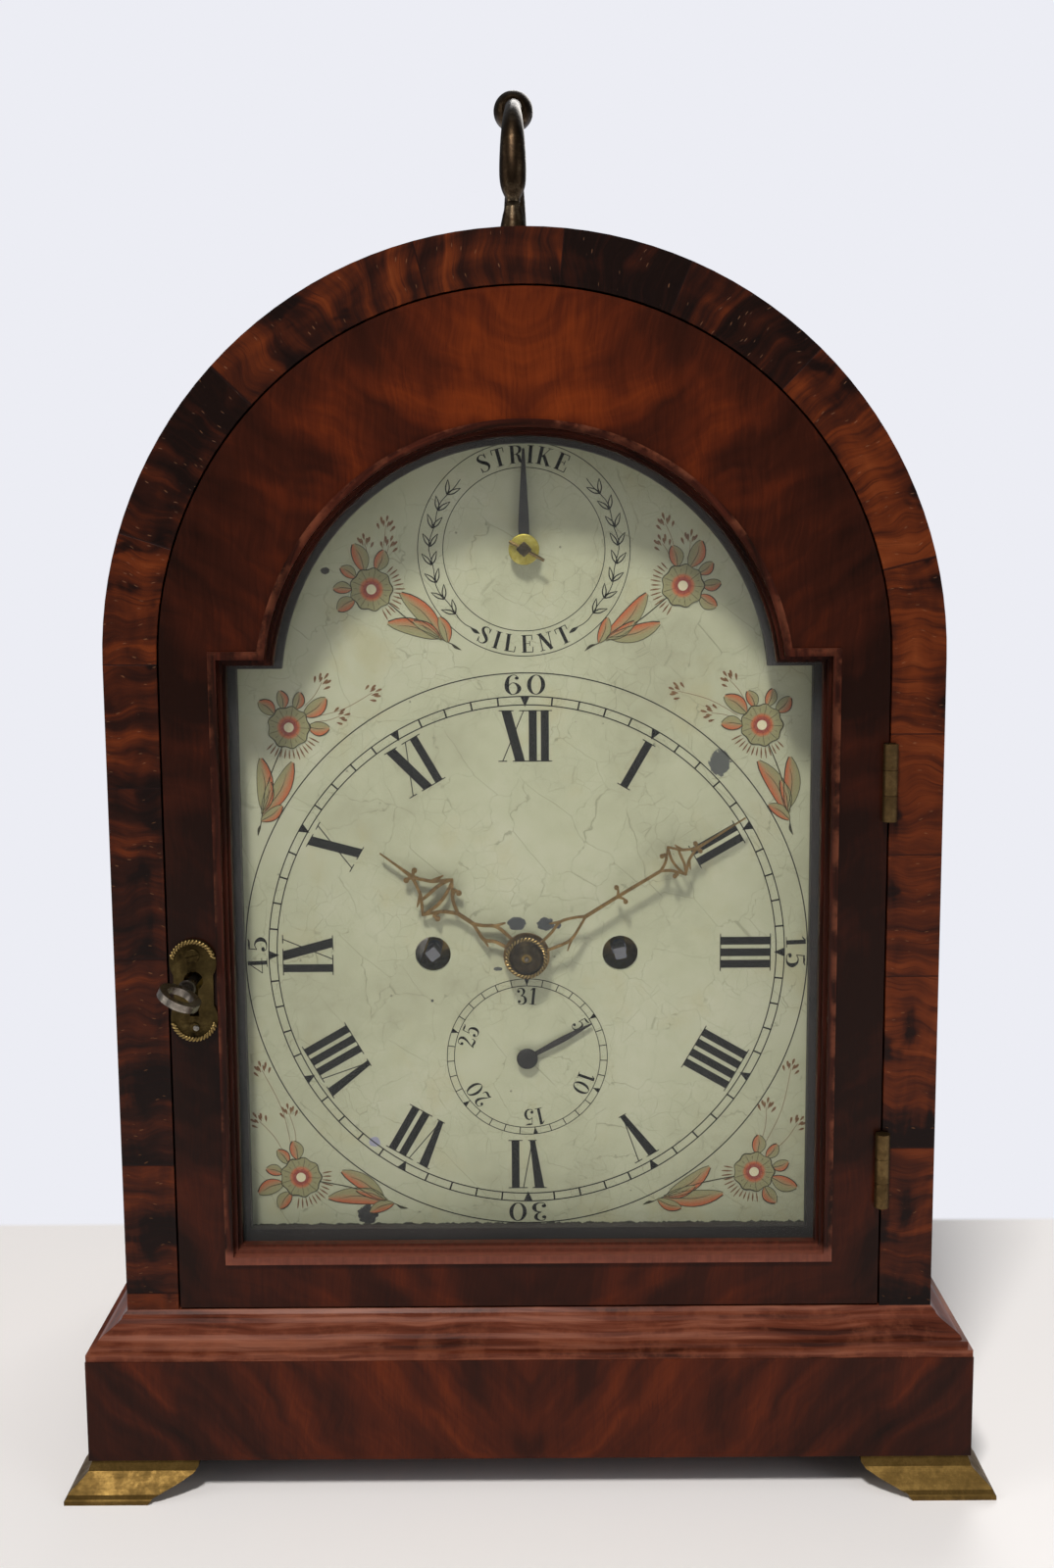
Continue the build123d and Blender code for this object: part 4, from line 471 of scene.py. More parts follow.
def brushwork(name, colour, under, fade):
    """Paint laid with a brush: a little uneven, and rubbed through in places to the colour under it."""
    finish = Finish(name, roughness=0.5)
    uneven = finish.noise(finish.vector(finish.x / 2.4, 0.0, finish.z / 2.4), 5.0, 0.65)
    finish.set("Base Color", finish.mix(finish.step(uneven, 0.48, 0.74) * fade, colour, under))
    finish.set("Roughness", 0.5 + uneven * 0.1)
    finish.set("Specular IOR Level", 0.15)
    return finish.material


def petal_paint():
    """Two paints that run into each other, by the amount of red that each point of a petal carries."""
    finish = Finish("petal_paint", roughness=0.45)
    red = finish.add("ShaderNodeAttribute", {"attribute_name": "red"}, output="Fac")
    uneven = finish.noise(finish.vector(finish.x / 0.9, 0.0, finish.z / 0.9), 4.0, 0.6)
    amount = finish.step(red + (uneven - 0.5) * 0.5, 0.15, 1.05)
    colour = finish.mix(amount, shade("858258"), shade("ac5426"))
    colour = finish.mix(finish.step(red, 1.0, 1.4), colour, shade("80281c"))
    colour = finish.mix(finish.step(uneven, 0.5, 0.75) * 0.3, colour, shade("9c9870"))
    finish.set("Base Color", colour)
    finish.set("Roughness", 0.42 + uneven * 0.12)
    return finish.material


def window_glass():
    """Thin crown glass, almost invisible but for a slow ripple."""
    finish = Finish("window_glass", roughness=0.03)
    ripple = finish.noise(finish.vector(finish.x / 40.0, 0.0, finish.z / 55.0), 2.0, 0.5)
    finish.set("Base Color", (0.9, 0.95, 0.93, 1.0))
    finish.set("Alpha", 0.012 + ripple * 0.008)
    finish.bump(ripple, 0.2, 0.3)
    return finish.material


# %% [markdown]
# Every node now gets its finish. Names on the left are finishes, and names on the right are the nodes that
# wear them.

# %% Dress the nodes
brass_tones = [shade(tone) for tone in ("5a4a22", "8a7238", "b69a58")]
brass = aged_metal("brass", *brass_tones, 12.0, (0.30, 0.5), 0.3)
wheel_brass = aged_metal("wheel_brass", *brass_tones, 12.0, (0.30, 0.5), 0.3, steel_front=True)
foot_brass = aged_metal("foot_brass", shade("2c200f"), shade("523e1f"), shade("846a3a"),
                        7.0, (0.34, 0.6), 0.35)
handle_brass = aged_metal("handle_brass", shade("1d1610"), shade("35291d"), shade("6a5c49"),
                          9.0, (0.24, 0.42), 0.3)
plate_brass = aged_metal("plate_brass", shade("18130b"), shade("3a2f1a"), shade("5e5030"),
                         6.0, (0.36, 0.6), 0.3)
hinge_brass = aged_metal("hinge_brass", shade("20160c"), shade("463420"), shade("75603e"),
                         7.0, (0.34, 0.6), 0.35)
hand_gilt = aged_metal("hand_gilt", shade("2c2114"), shade("5e4a2a"), shade("9c7e4e"),
                       4.0, (0.28, 0.5), 0.45)
bright_brass = aged_metal("bright_brass", shade("8a7e2c"), shade("b5a84a"), shade("cfc574"),
                          6.0, (0.4, 0.55), 0.3)
rope_gilt = aged_metal("rope_gilt", shade("2e2414"), shade("64502e"), shade("a8905c"),
                       3.0, (0.25, 0.45), 0.5)
dark_bronze = aged_metal("dark_bronze", shade("17130d"), shade("352b1c"), shade("5c5038"),
                         5.0, (0.3, 0.5), 0.4)
steel = aged_metal("steel", shade("4a4640"), shade("7a766e"), shade("b4b0a8"),
                   8.0, (0.25, 0.5), 0.4)
key_steel = aged_metal("key_steel", shade("2c2722"), shade("5a534b"), shade("a39b90"),
                       4.0, (0.2, 0.4), 0.4)
dark_hand = aged_metal("dark_hand", shade("0d0c0b"), shade("171513"), shade("2b2723"),
                       3.0, (0.4, 0.6), 0.3, 0.3)
bell_metal = aged_metal("bell_metal", shade("6a5632"), shade("9a8148"), shade("c4ab6c"),
                        16.0, (0.22, 0.4), 0.2)
oak = stained_wood("oak", shade("4d351f"), shade("7d5d38"))
# The mask's dark stain is painted darker still, near black, as painted shade for its recess behind the
# sight moulding.
shaded_mask_wood = stained_wood("shaded_mask_wood", shade("0e0907"), shade("1f140f"))
case_wood = side_mahogany()
door_wood = flame("door_wood", 330.0, 0.55, 46.0, dull=0.055, side_shade=0.5, calm=0.7)
plinth_wood = flame("plinth_wood", 40.0, 1.1, 30.0, dull=0.045, side_shade=0.2, wide=150.0, calm=0.6)
rear_wood = flame("rear_wood", 250.0, 0.3, 60.0, dull=0.05)
sight_wood = moulded("sight_wood", shade("170904"), shade("2c1008"), shade("451c10"), 0.35, 90.0,
                     highlight_below=82.0)
base_wood = moulded("base_wood", shade("32140b"), shade("5c2c1c"), shade("87523e"), 0.35)
gut = stained_wood("gut", shade("7a6238"), shade("a98d58"))

wearing = {
    rosewood(): ("front_frame",),
    door_wood: ("front_door_frame",),
    case_wood: ("carcass",),
    rear_wood: ("rear_frame", "rear_door_frame"),
    plinth_wood: ("plinth",),
    base_wood: ("base_moulding",),
    sight_wood: ("sight_moulding",),
    shaded_mask_wood: ("dial_mask",),
    oak: ("base_board", "seat_board"),
    dial_paint(): ("dial_plate",),
    window_glass(): ("front_glass", "rear_glass"),
    foot_brass: ("bracket_feet",),
    handle_brass: ("carrying_handle", "handle_mounts"),
    plate_brass: ("escutcheon",),
    hinge_brass: ("case_hinges", "front_door_hinge_leaves", "rear_door_hinge_leaves"),
    hand_gilt: ("minute_hand", "hour_hand"),
    dark_bronze: ("hand_collet",),
    dark_hand: ("date_hand", "strike_silent_hand"),
    key_steel: ("door_key",),
    steel: ("pallets", "hammer", "rack", "rack_hook", "lifting_piece", "bell_stand", "lock_bolt"),
    bell_metal: ("bell",),
    gut: ("gut_lines",),
    wheel_brass: ("going_fusee", "strike_fusee"),
    brass: ("side_frets", "lock_case", "rear_door_latch", "front_plate", "back_plate", "hour_bridge",
            "pendulum_cock", "pendulum", "going_barrel", "strike_barrel",
            "centre_wheel", "third_wheel", "escape_wheel", "pin_wheel", "gathering_wheel", "warning_wheel",
            "fly", "hour_wheel", "minute_wheel", "cannon_pinion", "date_driver", "date_wheel"),
}
for material, names in wearing.items():
    for name in names:
        for place in nodes[name].material_slots:
            place.material = material
dressed = {name for names in wearing.values() for name in names}
print("undressed nodes:", sorted(set(nodes) - dressed))


# %% [markdown]
# Paint on the dial is flat, so it is drawn as outlines, the way a signwriter pulls strokes: thick on the
# way down and thin across. No primitive looks like a letter, so here the faces are laid directly and a
# Solidify modifier gives the paint its film. Brush collects strokes in millimetres of the dial.

# %% A brush for flat paint
paint_film = 0.05


def turned(point, bearing):
    """Turn an (x, z) point clockwise, as seen from the front, by bearing degrees."""
    c, s = cos(radians(bearing)), sin(radians(bearing))
    return (point[0] * c + point[1] * s, -point[0] * s + point[1] * c)


def smooth_path(points, steps=6):
    """Points along a smooth curve through the given (x, z, width) points."""
    ends = [points[0], *points, points[-1]]
    path = []
    for a, b, c, d in zip(ends, ends[1:], ends[2:], ends[3:]):
        for step in range(steps):
            t = step / steps
            path.append(tuple(
                0.5 * (2 * q + (r - p) * t + (2 * p - 5 * q + 4 * r - s) * t * t
                       + (3 * q - p - 3 * r + s) * t ** 3)
                for p, q, r, s in zip(a, b, c, d)
            ))
    return [*path, points[-1]]


class Brush:
    """Strokes of one paint, gathered as faces and then turned into one piece."""

    def __init__(self, origin=(0.0, 0.0), bearing=0.0, scale=(1.0, 1.0)):
        self.points = []
        self.faces = []
        self.red = []
        self.rises = []
        self.rise = 0.0
        self.origin = origin
        self.bearing = bearing
        self.scale = scale

    def move(self, origin, bearing=0.0, scale=(1.0, 1.0)):
        """Draw what follows at another place, turned and scaled."""
        self.origin, self.bearing, self.scale = origin, bearing, scale

    def point(self, x, z, red=0.0):
        dx, dz = turned((x * self.scale[0], z * self.scale[1]), self.bearing)
        self.points.append((self.origin[0] + dx, self.origin[1] + dz))
        self.red.append(red)
        self.rises.append(self.rise)
        return len(self.points) - 1

    def face(self, corners):
        area = 0.0
        for a, b in zip(corners, corners[1:] + corners[:1]):
            area += self.points[a][0] * self.points[b][1] - self.points[b][0] * self.points[a][1]
        self.faces.append(corners if area > 0 else corners[::-1])

    def polygon(self, outline):
        self.face([self.point(x, z) for x, z in outline])

    def stroke(self, path, red=0.0):
        """A ribbon along (x, z, width) points."""
        pairs = []
        for i, (x, z, width) in enumerate(path):
            before = path[max(i - 1, 0)]
            after = path[min(i + 1, len(path) - 1)]
            dx, dz = after[0] - before[0], after[1] - before[1]
            length = hypot(dx, dz) or 1.0
            nx, nz = -dz / length * width / 2, dx / length * width / 2
            pairs.append((self.point(x + nx, z + nz, red), self.point(x - nx, z - nz, red)))
        for (a, b), (c, d) in zip(pairs, pairs[1:]):
            self.face([a, b, d, c])

    def curve(self, *points, red=0.0, steps=6):
        self.stroke(smooth_path(points, steps), red)

    def bar(self, x0, z0, x1, z1, width):
        self.stroke([(x0, z0, width), (x1, z1, width)])

    def disc(self, x, z, radius, sides=16):
        angles = [2 * pi * i / sides for i in range(sides)]
        self.face([self.point(x + radius * cos(angle), z + radius * sin(angle)) for angle in angles])

    def ring(self, outer, inner, sides):
        """A ring about the brush's origin."""
        pairs = []
        for i in range(sides + 1):
            angle = radians(360.0 * i / sides)
            pairs.append((self.point(outer * sin(angle), outer * cos(angle)),
                          self.point(inner * sin(angle), inner * cos(angle))))
        for (a, b), (c, d) in zip(pairs, pairs[1:]):
            self.face([a, c, d, b])

    def oval(self, x, z, half_x, half_z, thick, thin):
        """A ring whose sides are thick and whose top and bottom are thin."""
        sides = 28
        pairs = []
        for i in range(sides + 1):
            angle = 2 * pi * i / sides
            c, s = cos(angle), sin(angle)
            pairs.append((self.point(x + half_x * c, z + half_z * s),
                          self.point(x + (half_x - thick) * c, z + (half_z - thin) * s)))
        for (a, b), (c, d) in zip(pairs, pairs[1:]):
            self.face([a, c, d, b])

    def piece(self, name, material, lift):
        """Turn the strokes into one piece of paint that stands lift millimetres off the dial."""
        mesh = bpy.data.meshes.new(name)
        front = dial_face - lift
        corners = [(x * mm, (front - rise) * mm, z * mm) for (x, z), rise in zip(self.points, self.rises)]
        mesh.from_pydata(corners, [], self.faces)
        if any(self.red):
            tint = mesh.attributes.new("red", "FLOAT", "POINT")
            tint.data.foreach_set("value", self.red)
        paint = bpy.data.objects.new(name, mesh)
        bpy.context.collection.objects.link(paint)
        mesh.materials.append(material)
        choose(paint)
        film_maker = paint.modifiers.new("film", "SOLIDIFY")
        film_maker.thickness = paint_film * mm
        film_maker.offset = -1.0
        bpy.ops.object.modifier_apply(modifier=film_maker.name)
        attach(paint, "case")


def choose(*chosen):
    """Select these objects alone, the first one active."""
    bpy.ops.object.select_all(action="DESELECT")
    for item in chosen:
        item.select_set(True)
    bpy.context.view_layer.objects.active = chosen[0]


# %% [markdown]
# The figures are in the style of about 1800: strong uprights, hairline turns and round ball ends. Each
# glyph is a short list of strokes in a box one unit high, and its width comes last.

# %% Figures and capitals
hair = 0.035
thick = 0.16


def numeral_0(b):
    b.oval(0.34, 0.5, 0.33, 0.5, 0.15, hair)
    return 0.68


def numeral_1(b):
    b.bar(0.24, 0.0, 0.24, 1.0, 0.16)
    b.curve((0.04, 0.82, hair), (0.12, 0.90, 0.06), (0.17, 0.99, hair))
    b.bar(0.04, 0.015, 0.44, 0.015, hair)
    return 0.46


def numeral_2(b):
    b.disc(0.15, 0.74, 0.085)
    b.curve((0.08, 0.78, hair), (0.16, 0.95, hair), (0.32, 0.98, 0.05), (0.47, 0.90, 0.12),
            (0.50, 0.74, 0.15), (0.40, 0.52, 0.10), (0.20, 0.26, 0.05), (0.07, 0.04, hair))
    b.curve((0.06, 0.04, hair), (0.19, 0.11, 0.10), (0.38, 0.05, 0.13), (0.52, 0.09, 0.06),
            (0.57, 0.24, hair))
    return 0.62


def numeral_3(b):
    b.disc(0.14, 0.80, 0.08)
    b.curve((0.07, 0.82, hair), (0.15, 0.96, hair), (0.30, 0.98, 0.05), (0.43, 0.88, 0.12),
            (0.45, 0.75, 0.13), (0.38, 0.60, 0.07), (0.24, 0.535, hair))
    b.curve((0.24, 0.535, hair), (0.42, 0.47, 0.08), (0.50, 0.30, 0.16), (0.46, 0.12, 0.12),
            (0.30, 0.02, 0.05), (0.13, 0.05, hair), (0.06, 0.18, hair))
    b.disc(0.13, 0.20, 0.085)
    return 0.62


def numeral_4(b):
    b.bar(0.42, 0.0, 0.42, 1.0, 0.15)
    b.bar(0.42, 0.99, 0.03, 0.28, hair)
    b.bar(0.02, 0.28, 0.60, 0.28, hair)
    b.bar(0.26, 0.015, 0.58, 0.015, hair)
    return 0.66


def numeral_5(b):
    b.curve((0.12, 0.90, hair), (0.26, 0.92, 0.10), (0.40, 0.93, 0.07), (0.49, 0.99, hair))
    b.bar(0.13, 0.96, 0.11, 0.52, hair)
    b.curve((0.11, 0.52, hair), (0.25, 0.62, 0.05), (0.41, 0.57, 0.10), (0.50, 0.34, 0.16),
            (0.44, 0.11, 0.11), (0.28, 0.02, 0.05), (0.12, 0.05, hair), (0.06, 0.18, hair))
    b.disc(0.13, 0.20, 0.085)
    return 0.60


def numeral_6(b):
    b.curve((0.50, 0.82, hair), (0.45, 0.95, hair), (0.33, 0.985, hair), (0.17, 0.86, 0.10),
            (0.10, 0.55, 0.16), (0.11, 0.26, 0.14), (0.22, 0.05, 0.06), (0.34, 0.02, hair),
            (0.48, 0.12, 0.11), (0.54, 0.31, 0.15), (0.47, 0.50, 0.10), (0.34, 0.60, hair),
            (0.22, 0.54, hair), (0.15, 0.42, hair))
    b.disc(0.47, 0.82, 0.075)
    return 0.66


def serifs(b, x, half, *heights):
    for height in heights:
        b.bar(x - half, height, x + half, height, hair)


def capital_s(b):
    b.curve((0.44, 0.74, hair), (0.40, 0.91, 0.04), (0.27, 0.985, 0.045), (0.12, 0.90, 0.09),
            (0.10, 0.76, 0.13), (0.20, 0.60, 0.16), (0.36, 0.44, 0.18), (0.45, 0.27, 0.13),
            (0.40, 0.10, 0.08), (0.26, 0.015, 0.045), (0.11, 0.07, 0.04), (0.06, 0.28, hair))
    b.bar(0.45, 0.70, 0.45, 0.99, hair)
    b.bar(0.06, 0.01, 0.06, 0.30, hair)
    return 0.54


def capital_t(b):
    b.bar(0.31, 0.0, 0.31, 1.0, 0.16)
    b.bar(0.02, 0.98, 0.60, 0.98, 0.045)
    b.bar(0.035, 0.98, 0.035, 0.72, 0.04)
    b.bar(0.585, 0.98, 0.585, 0.72, 0.04)
    serifs(b, 0.31, 0.16, 0.015)
    return 0.64


def capital_r(b):
    b.bar(0.15, 0.0, 0.15, 1.0, thick)
    b.curve((0.14, 0.98, hair), (0.36, 0.97, 0.05), (0.50, 0.88, 0.13), (0.52, 0.75, 0.15),
            (0.46, 0.60, 0.10), (0.32, 0.52, hair), (0.14, 0.51, hair))
    b.curve((0.32, 0.51, 0.05), (0.44, 0.40, 0.13), (0.48, 0.18, 0.15), (0.54, 0.04, 0.07),
            (0.64, 0.06, hair))
    serifs(b, 0.15, 0.14, 0.015, 0.985)
    return 0.68


def capital_i(b):
    b.bar(0.15, 0.0, 0.15, 1.0, thick)
    serifs(b, 0.15, 0.15, 0.015, 0.985)
    return 0.31


def capital_k(b):
    b.bar(0.15, 0.0, 0.15, 1.0, thick)
    b.bar(0.20, 0.40, 0.54, 0.98, hair)
    b.bar(0.29, 0.56, 0.58, 0.0, 0.16)
    serifs(b, 0.15, 0.15, 0.015, 0.985)
    serifs(b, 0.55, 0.12, 0.985)
    serifs(b, 0.60, 0.14, 0.015)
    return 0.76


def capital_e(b):
    b.bar(0.15, 0.0, 0.15, 1.0, thick)
    for height, reach, drop in ((0.98, 0.52, -0.26), (0.02, 0.55, 0.30)):
        b.bar(0.02, height, reach, height, 0.045)
        b.bar(reach - 0.015, height, reach, height + drop, 0.04)
    b.bar(0.15, 0.51, 0.40, 0.51, hair)
    b.bar(0.40, 0.38, 0.40, 0.64, hair)
    return 0.60


def capital_l(b):
    b.bar(0.15, 0.0, 0.15, 1.0, thick)
    b.bar(0.02, 0.02, 0.52, 0.02, 0.045)
    b.bar(0.51, 0.02, 0.525, 0.34, 0.04)
    serifs(b, 0.15, 0.14, 0.985)
    return 0.57


def capital_n(b):
    b.bar(0.12, 0.0, 0.12, 1.0, 0.045)
    b.bar(0.12, 1.0, 0.56, 0.0, 0.17)
    b.bar(0.56, 0.0, 0.56, 1.0, 0.045)
    serifs(b, 0.12, 0.12, 0.015, 0.985)
    serifs(b, 0.56, 0.12, 0.985)
    return 0.70


glyphs = {
    "0": numeral_0, "1": numeral_1, "2": numeral_2, "3": numeral_3, "4": numeral_4, "5": numeral_5,
    "6": numeral_6, "S": capital_s, "T": capital_t, "R": capital_r, "I": capital_i, "K": capital_k,
    "E": capital_e, "L": capital_l, "N": capital_n,
}
glyph_width = {name: draw(Brush()) for name, draw in glyphs.items()}


def letter_on_ring(brush, text, centre, radius, height, bearing, stretch=1.0, spacing=0.1, inward=False):
    """Letter text round a ring. Its feet point to the centre, or away from it if inward."""
    widths = [glyph_width[letter] * stretch * height for letter in text]
    gap = spacing * height
    total = sum(widths) + gap * (len(text) - 1)
    done = -total / 2
    base = radius + height if inward else radius
    middle = radius + height / 2
    for letter, width in zip(text, widths):
        offset = degrees((done + width / 2) / middle)
        angle = bearing - offset if inward else bearing + offset
        x = centre[0] + base * sin(radians(angle))
        z = centre[1] + base * cos(radians(angle))
        turn = angle + 180 if inward else angle
        shift = turned((-width / 2, 0.0), turn)
        brush.move((x + shift[0], z + shift[1]), turn, (height * stretch, height))
        glyphs[letter](brush)
        done += width + gap


# %% [markdown]
# The hour ring. Each Roman numeral is a row of stems and diagonals between two circles, with hairline
# serifs across both ends, turned so that its foot points to the centre of the dial. Four o'clock is
# written IIII, as clocks do.

# %% Hour and minute ring
numeral_top = 84.6
numeral_foot = 67.3
stem = 2.75
hairline = 0.34
stem_gap = 1.35
romans = ("XII", "I", "II", "III", "IIII", "V", "VI", "VII", "VIII", "IX", "X", "XI")
letter_span = {"I": stem, "V": 7.4, "X": 8.0}


def roman(brush, text, centre, bearing):
    """One hour numeral, with its foot towards centre."""
    height = numeral_top - numeral_foot
    x = centre[0] + numeral_foot * sin(radians(bearing))
    z = centre[1] + numeral_foot * cos(radians(bearing))
    brush.move((x, z), bearing)
    span = sum(letter_span[letter] for letter in text) + stem_gap * (len(text) - 1)
    left = -span / 2
    for letter in text:
        wide = letter_span[letter]
        slant = stem * 1.22
        if letter == "I":
            brush.bar(left + wide / 2, 0.0, left + wide / 2, height, stem)
            feet = (left + wide / 2,)
            heads = feet
        elif letter == "V":
            middle = left + wide * 0.56
            brush.polygon([(left, height), (left + slant, height), (middle + slant * 0.28, 0.0),
                           (middle - slant * 0.28, 0.0)])
            brush.bar(left + wide, height, middle, 0.0, hairline)
            feet = (middle,)
            heads = (left + slant / 2, left + wide)
        else:
            brush.polygon([(left, height), (left + slant, height), (left + wide, 0.0),
                           (left + wide - slant, 0.0)])
            brush.bar(left + wide - 0.4, height, left + 0.4, 0.0, hairline)
            feet = (left + 0.4, left + wide - slant / 2)
            heads = (left + slant / 2, left + wide - 0.4)
        for height_at, places in ((0.0, feet), (height, heads)):
            for place in places:
                broad = letter == "I" or place in (left + slant / 2, left + wide - slant / 2)
                half = 2.5 if broad else 1.5
                brush.bar(place - half, height_at, place + half, height_at, hairline)
        left += wide + stem_gap


ink = brushwork("ink", shade("0b0a08"), shade("34342a"), fade=0.2)
faded_ink = brushwork("faded_ink", shade("16160f"), shade("40402e"), fade=0.3)

hours = Brush()
for hour, text in enumerate(romans):
    roman(hours, text, dial_centre, hour * 30)
hours.piece("hour_numerals", ink, 0.05)

ring_line = 0.38
figure_ring, track_outer, track_inner = 97.5, 89.5, 86.6
minutes = Brush(dial_centre)
for radius in (figure_ring, track_outer, track_inner):
    minutes.ring(radius + ring_line / 2, radius - ring_line / 2, 240)
for minute in range(60):
    minutes.move(dial_centre, minute * 6)
    if minute % 5:
        minutes.bar(0.0, track_inner, 0.0, track_outer, 0.55)
    else:
        minutes.polygon([(-1.6, track_outer), (1.6, track_outer), (0.0, 85.9)])
for quarter, text in enumerate(("60", "15", "30", "45")):
    letter_on_ring(minutes, text, dial_centre, 90.15, 6.8, quarter * 90, stretch=1.38, spacing=0.22)
minutes.piece("minute_ring", ink, 0.05)


# %% [markdown]
# Two small rings: the date below the centre, with a mark for each of 31 days, and the strike and silent
# ring in the arch, with its two words and a laurel branch up each side.

# %% Date ring and strike ring
fine_line = 0.13
date_outer, date_inner = 28.0, 25.5
day_angle = 360 / 31
date = Brush(date_centre)
for radius in (date_outer, date_inner):
    date.ring(radius + fine_line, radius - fine_line, 160)
for day in range(31):
    date.move(date_centre, day * day_angle)
    date.bar(0.0, date_inner, 0.0, date_outer, 0.3)
for day in (31, 5, 10, 15, 20, 25):
    date.move(date_centre, day * day_angle)
    date.polygon([(-0.9, date_outer), (0.9, date_outer), (0.0, date_inner + 0.1)])
for day in (31, 5, 10, 15, 20, 25):
    letter_on_ring(date, str(day), date_centre, 18.9, 6.0, day * day_angle, spacing=0.12)
date.piece("date_ring", ink, 0.05)

word_foot, word_height = 28.7, 5.9
strike = Brush(strike_centre)
for radius in (35.8, 27.3):
    strike.ring(radius + fine_line, radius - fine_line, 160)
letter_on_ring(strike, "STRIKE", strike_centre, word_foot, word_height, 0, stretch=1.22, spacing=0.2)
letter_on_ring(strike, "SILENT", strike_centre, word_foot, word_height, 180, stretch=1.22, spacing=0.26,
               inward=True)
strike.piece("strike_silent_ring", ink, 0.05)


def laurel(brush, side):
    """A branch of leaf pairs between the two circles, from its stalk near the bottom up to its tip."""
    stalk, tip = 146.0, 42.0
    middle = 31.6
    pairs = 8
    path = []
    for i in range(25):
        t = i / 24
        angle = radians((stalk + (tip - stalk) * t) * side)
        reach = middle + 0.5 * sin(t * pi * pairs)
        path.append((strike_centre[0] + reach * sin(angle), strike_centre[1] + reach * cos(angle), 0.28))
    brush.move((0.0, 0.0))
    brush.stroke(path)
    for i in range(pairs):
        t = 0.13 + i / pairs * 0.86
        angle = (stalk + (tip - stalk) * t) * side
        x = strike_centre[0] + middle * sin(radians(angle))
        z = strike_centre[1] + middle * cos(radians(angle))
        for lean in (-30.0, 32.0):
            brush.move((x, z), angle - 90 * side + lean * side)
            size = 5.0
            for edge in (-0.6, 0.6):
                brush.curve((0.0, 0.0, 0.45), (edge, size * 0.35, 0.42), (edge * 0.8, size * 0.65, 0.36),
                            (0.0, size, 0.2), steps=3)
    start = radians(stalk * side)
    reach = middle + 0.2
    brush.move((strike_centre[0] + reach * sin(start), strike_centre[1] + reach * cos(start)),
               (stalk + 90) * side)
    brush.curve((0.0, -0.4, 0.2), (0.1, 1.4, 1.3), (0.0, 3.2, 0.1), steps=3)


branches = Brush()
for side in (-1, 1):
    laurel(branches, side)
branches.piece("laurel_branches", faded_ink, 0.05)


# %% [markdown]
# Six flower sprays fill the corners. They are of the common kind that dial painters repeated: one round
# flower seen from the front, petals and leaves shaded from grey green to brick red, a curved stalk, and
# fine dashes for buds. One function draws them all; only their places and directions change. Each leaf
# lies a coat of paint over the last, so no two faces share a plane.

# %% Flower sprays
petals = Brush()
outlines = Brush()
buds = Brush()
creams = Brush()
dice = random.Random(7)
head_radius = 7.0
coat = 0.015
buds_on_a_sprig = 7


def leaf(base, bearing, length, width, red_side):
    """A pointed leaf, redder along one edge, with a dark outline that swells and thins."""
    steps = 8
    for brush in (petals, outlines):
        brush.move(base, bearing)
        brush.rise += coat
    rows = []
    edges = ([], [])
    for i in range(steps + 1):
        t = i / steps
        half = width / 2 * sin(pi * min(1.0, t * 0.96 + 0.02)) ** 0.62
        bend = length * 0.06 * sin(pi * t)
        row = []
        for side in (-1, -0.35, 0.35, 1):
            red = 0.95 * ((1 + side * red_side) / 2) ** 1.6 + 0.2 * t
            row.append(petals.point(bend + half * side, length * t, red))
        rows.append(row)
        for edge, side in zip(edges, (-1, 1)):
            edge.append((bend + half * side, length * t, 0.22 + 0.2 * t * (side == red_side)))
    for before, after in zip(rows, rows[1:]):
        for a, b, c, d in zip(before, before[1:], after, after[1:]):
            petals.face([a, b, d, c])
    for edge in edges:
        outlines.stroke(edge)
    outlines.curve((0.0, 0.0, 0.2), (length * 0.06, length * 0.5, 0.22), (0.0, length * 0.8, 0.08), steps=4)


def flower_head(centre, radius):
    """A scalloped olive disc, red towards its cream middle, with fine lines across it."""
    petals.move(centre)
    petals.rise += coat
    outlines.rise += coat
    lobes = 9
    points_round = 36
    rims = []
    for share, red in ((1.0, 0.0), (0.66, 0.1), (0.54, 0.6), (0.42, 1.2), (0.18, 1.5)):
        rim = []
        for i in range(points_round):
            angle = 2 * pi * i / points_round
            wave = 1 + 0.05 * cos(lobes * angle) * (share == 1.0)
            out = radius * share * wave
            rim.append(petals.point(out * cos(angle), out * sin(angle), red))
        rims.append(rim)
    for outer, inner in zip(rims, rims[1:]):
        for i in range(points_round):
            j = (i + 1) % points_round
            petals.face([outer[i], outer[j], inner[j], inner[i]])
    outlines.move(centre)
    rim_line = []
    for i in range(55):
        angle = 2 * pi * i / 54
        out = radius * (1 + 0.05 * cos(lobes * angle))
        rim_line.append((out * cos(angle), out * sin(angle), 0.34 + 0.1 * cos(3 * angle)))
    outlines.stroke(rim_line)
    for i in range(2 * lobes):
        outlines.move(centre, i * 180 / lobes + 12)
        outlines.curve((0.0, radius * (0.34 + 0.3 * (i % 2)), 0.06), (0.1, radius * 0.8, 0.16),
                       (0.0, radius * (1.0 - 0.2 * (i % 2)), 0.1), steps=3)
    creams.move(centre)
    creams.disc(0.0, 0.0, radius * 0.24, 20)


def bud_sprig(start, end):
    """A hair-fine stalk that ends in a fan of red-brown dabs."""
    run = hypot(end[0] - start[0], end[1] - start[1])
    bearing = degrees(atan2(end[0] - start[0], end[1] - start[1]))
    buds.move(start, bearing)
    buds.curve((0.0, 0.0, 0.16), (run * 0.06, run * 0.5, 0.18), (0.0, run, 0.16), steps=4)
    for i in range(buds_on_a_sprig):
        spread = (i - (buds_on_a_sprig - 1) / 2) / buds_on_a_sprig
        foot = turned((spread * 4.4, -abs(spread) * 4.0 + 1.2 * (i % 2)), bearing)
        buds.move((end[0] + foot[0], end[1] + foot[1]), bearing + spread * 70)
        size = 2.0 + 0.6 * dice.random()
        buds.curve((0.0, 0.0, 0.12), (0.0, size * 0.6, 0.85), (0.0, size, 0.45), red=1.0, steps=3)


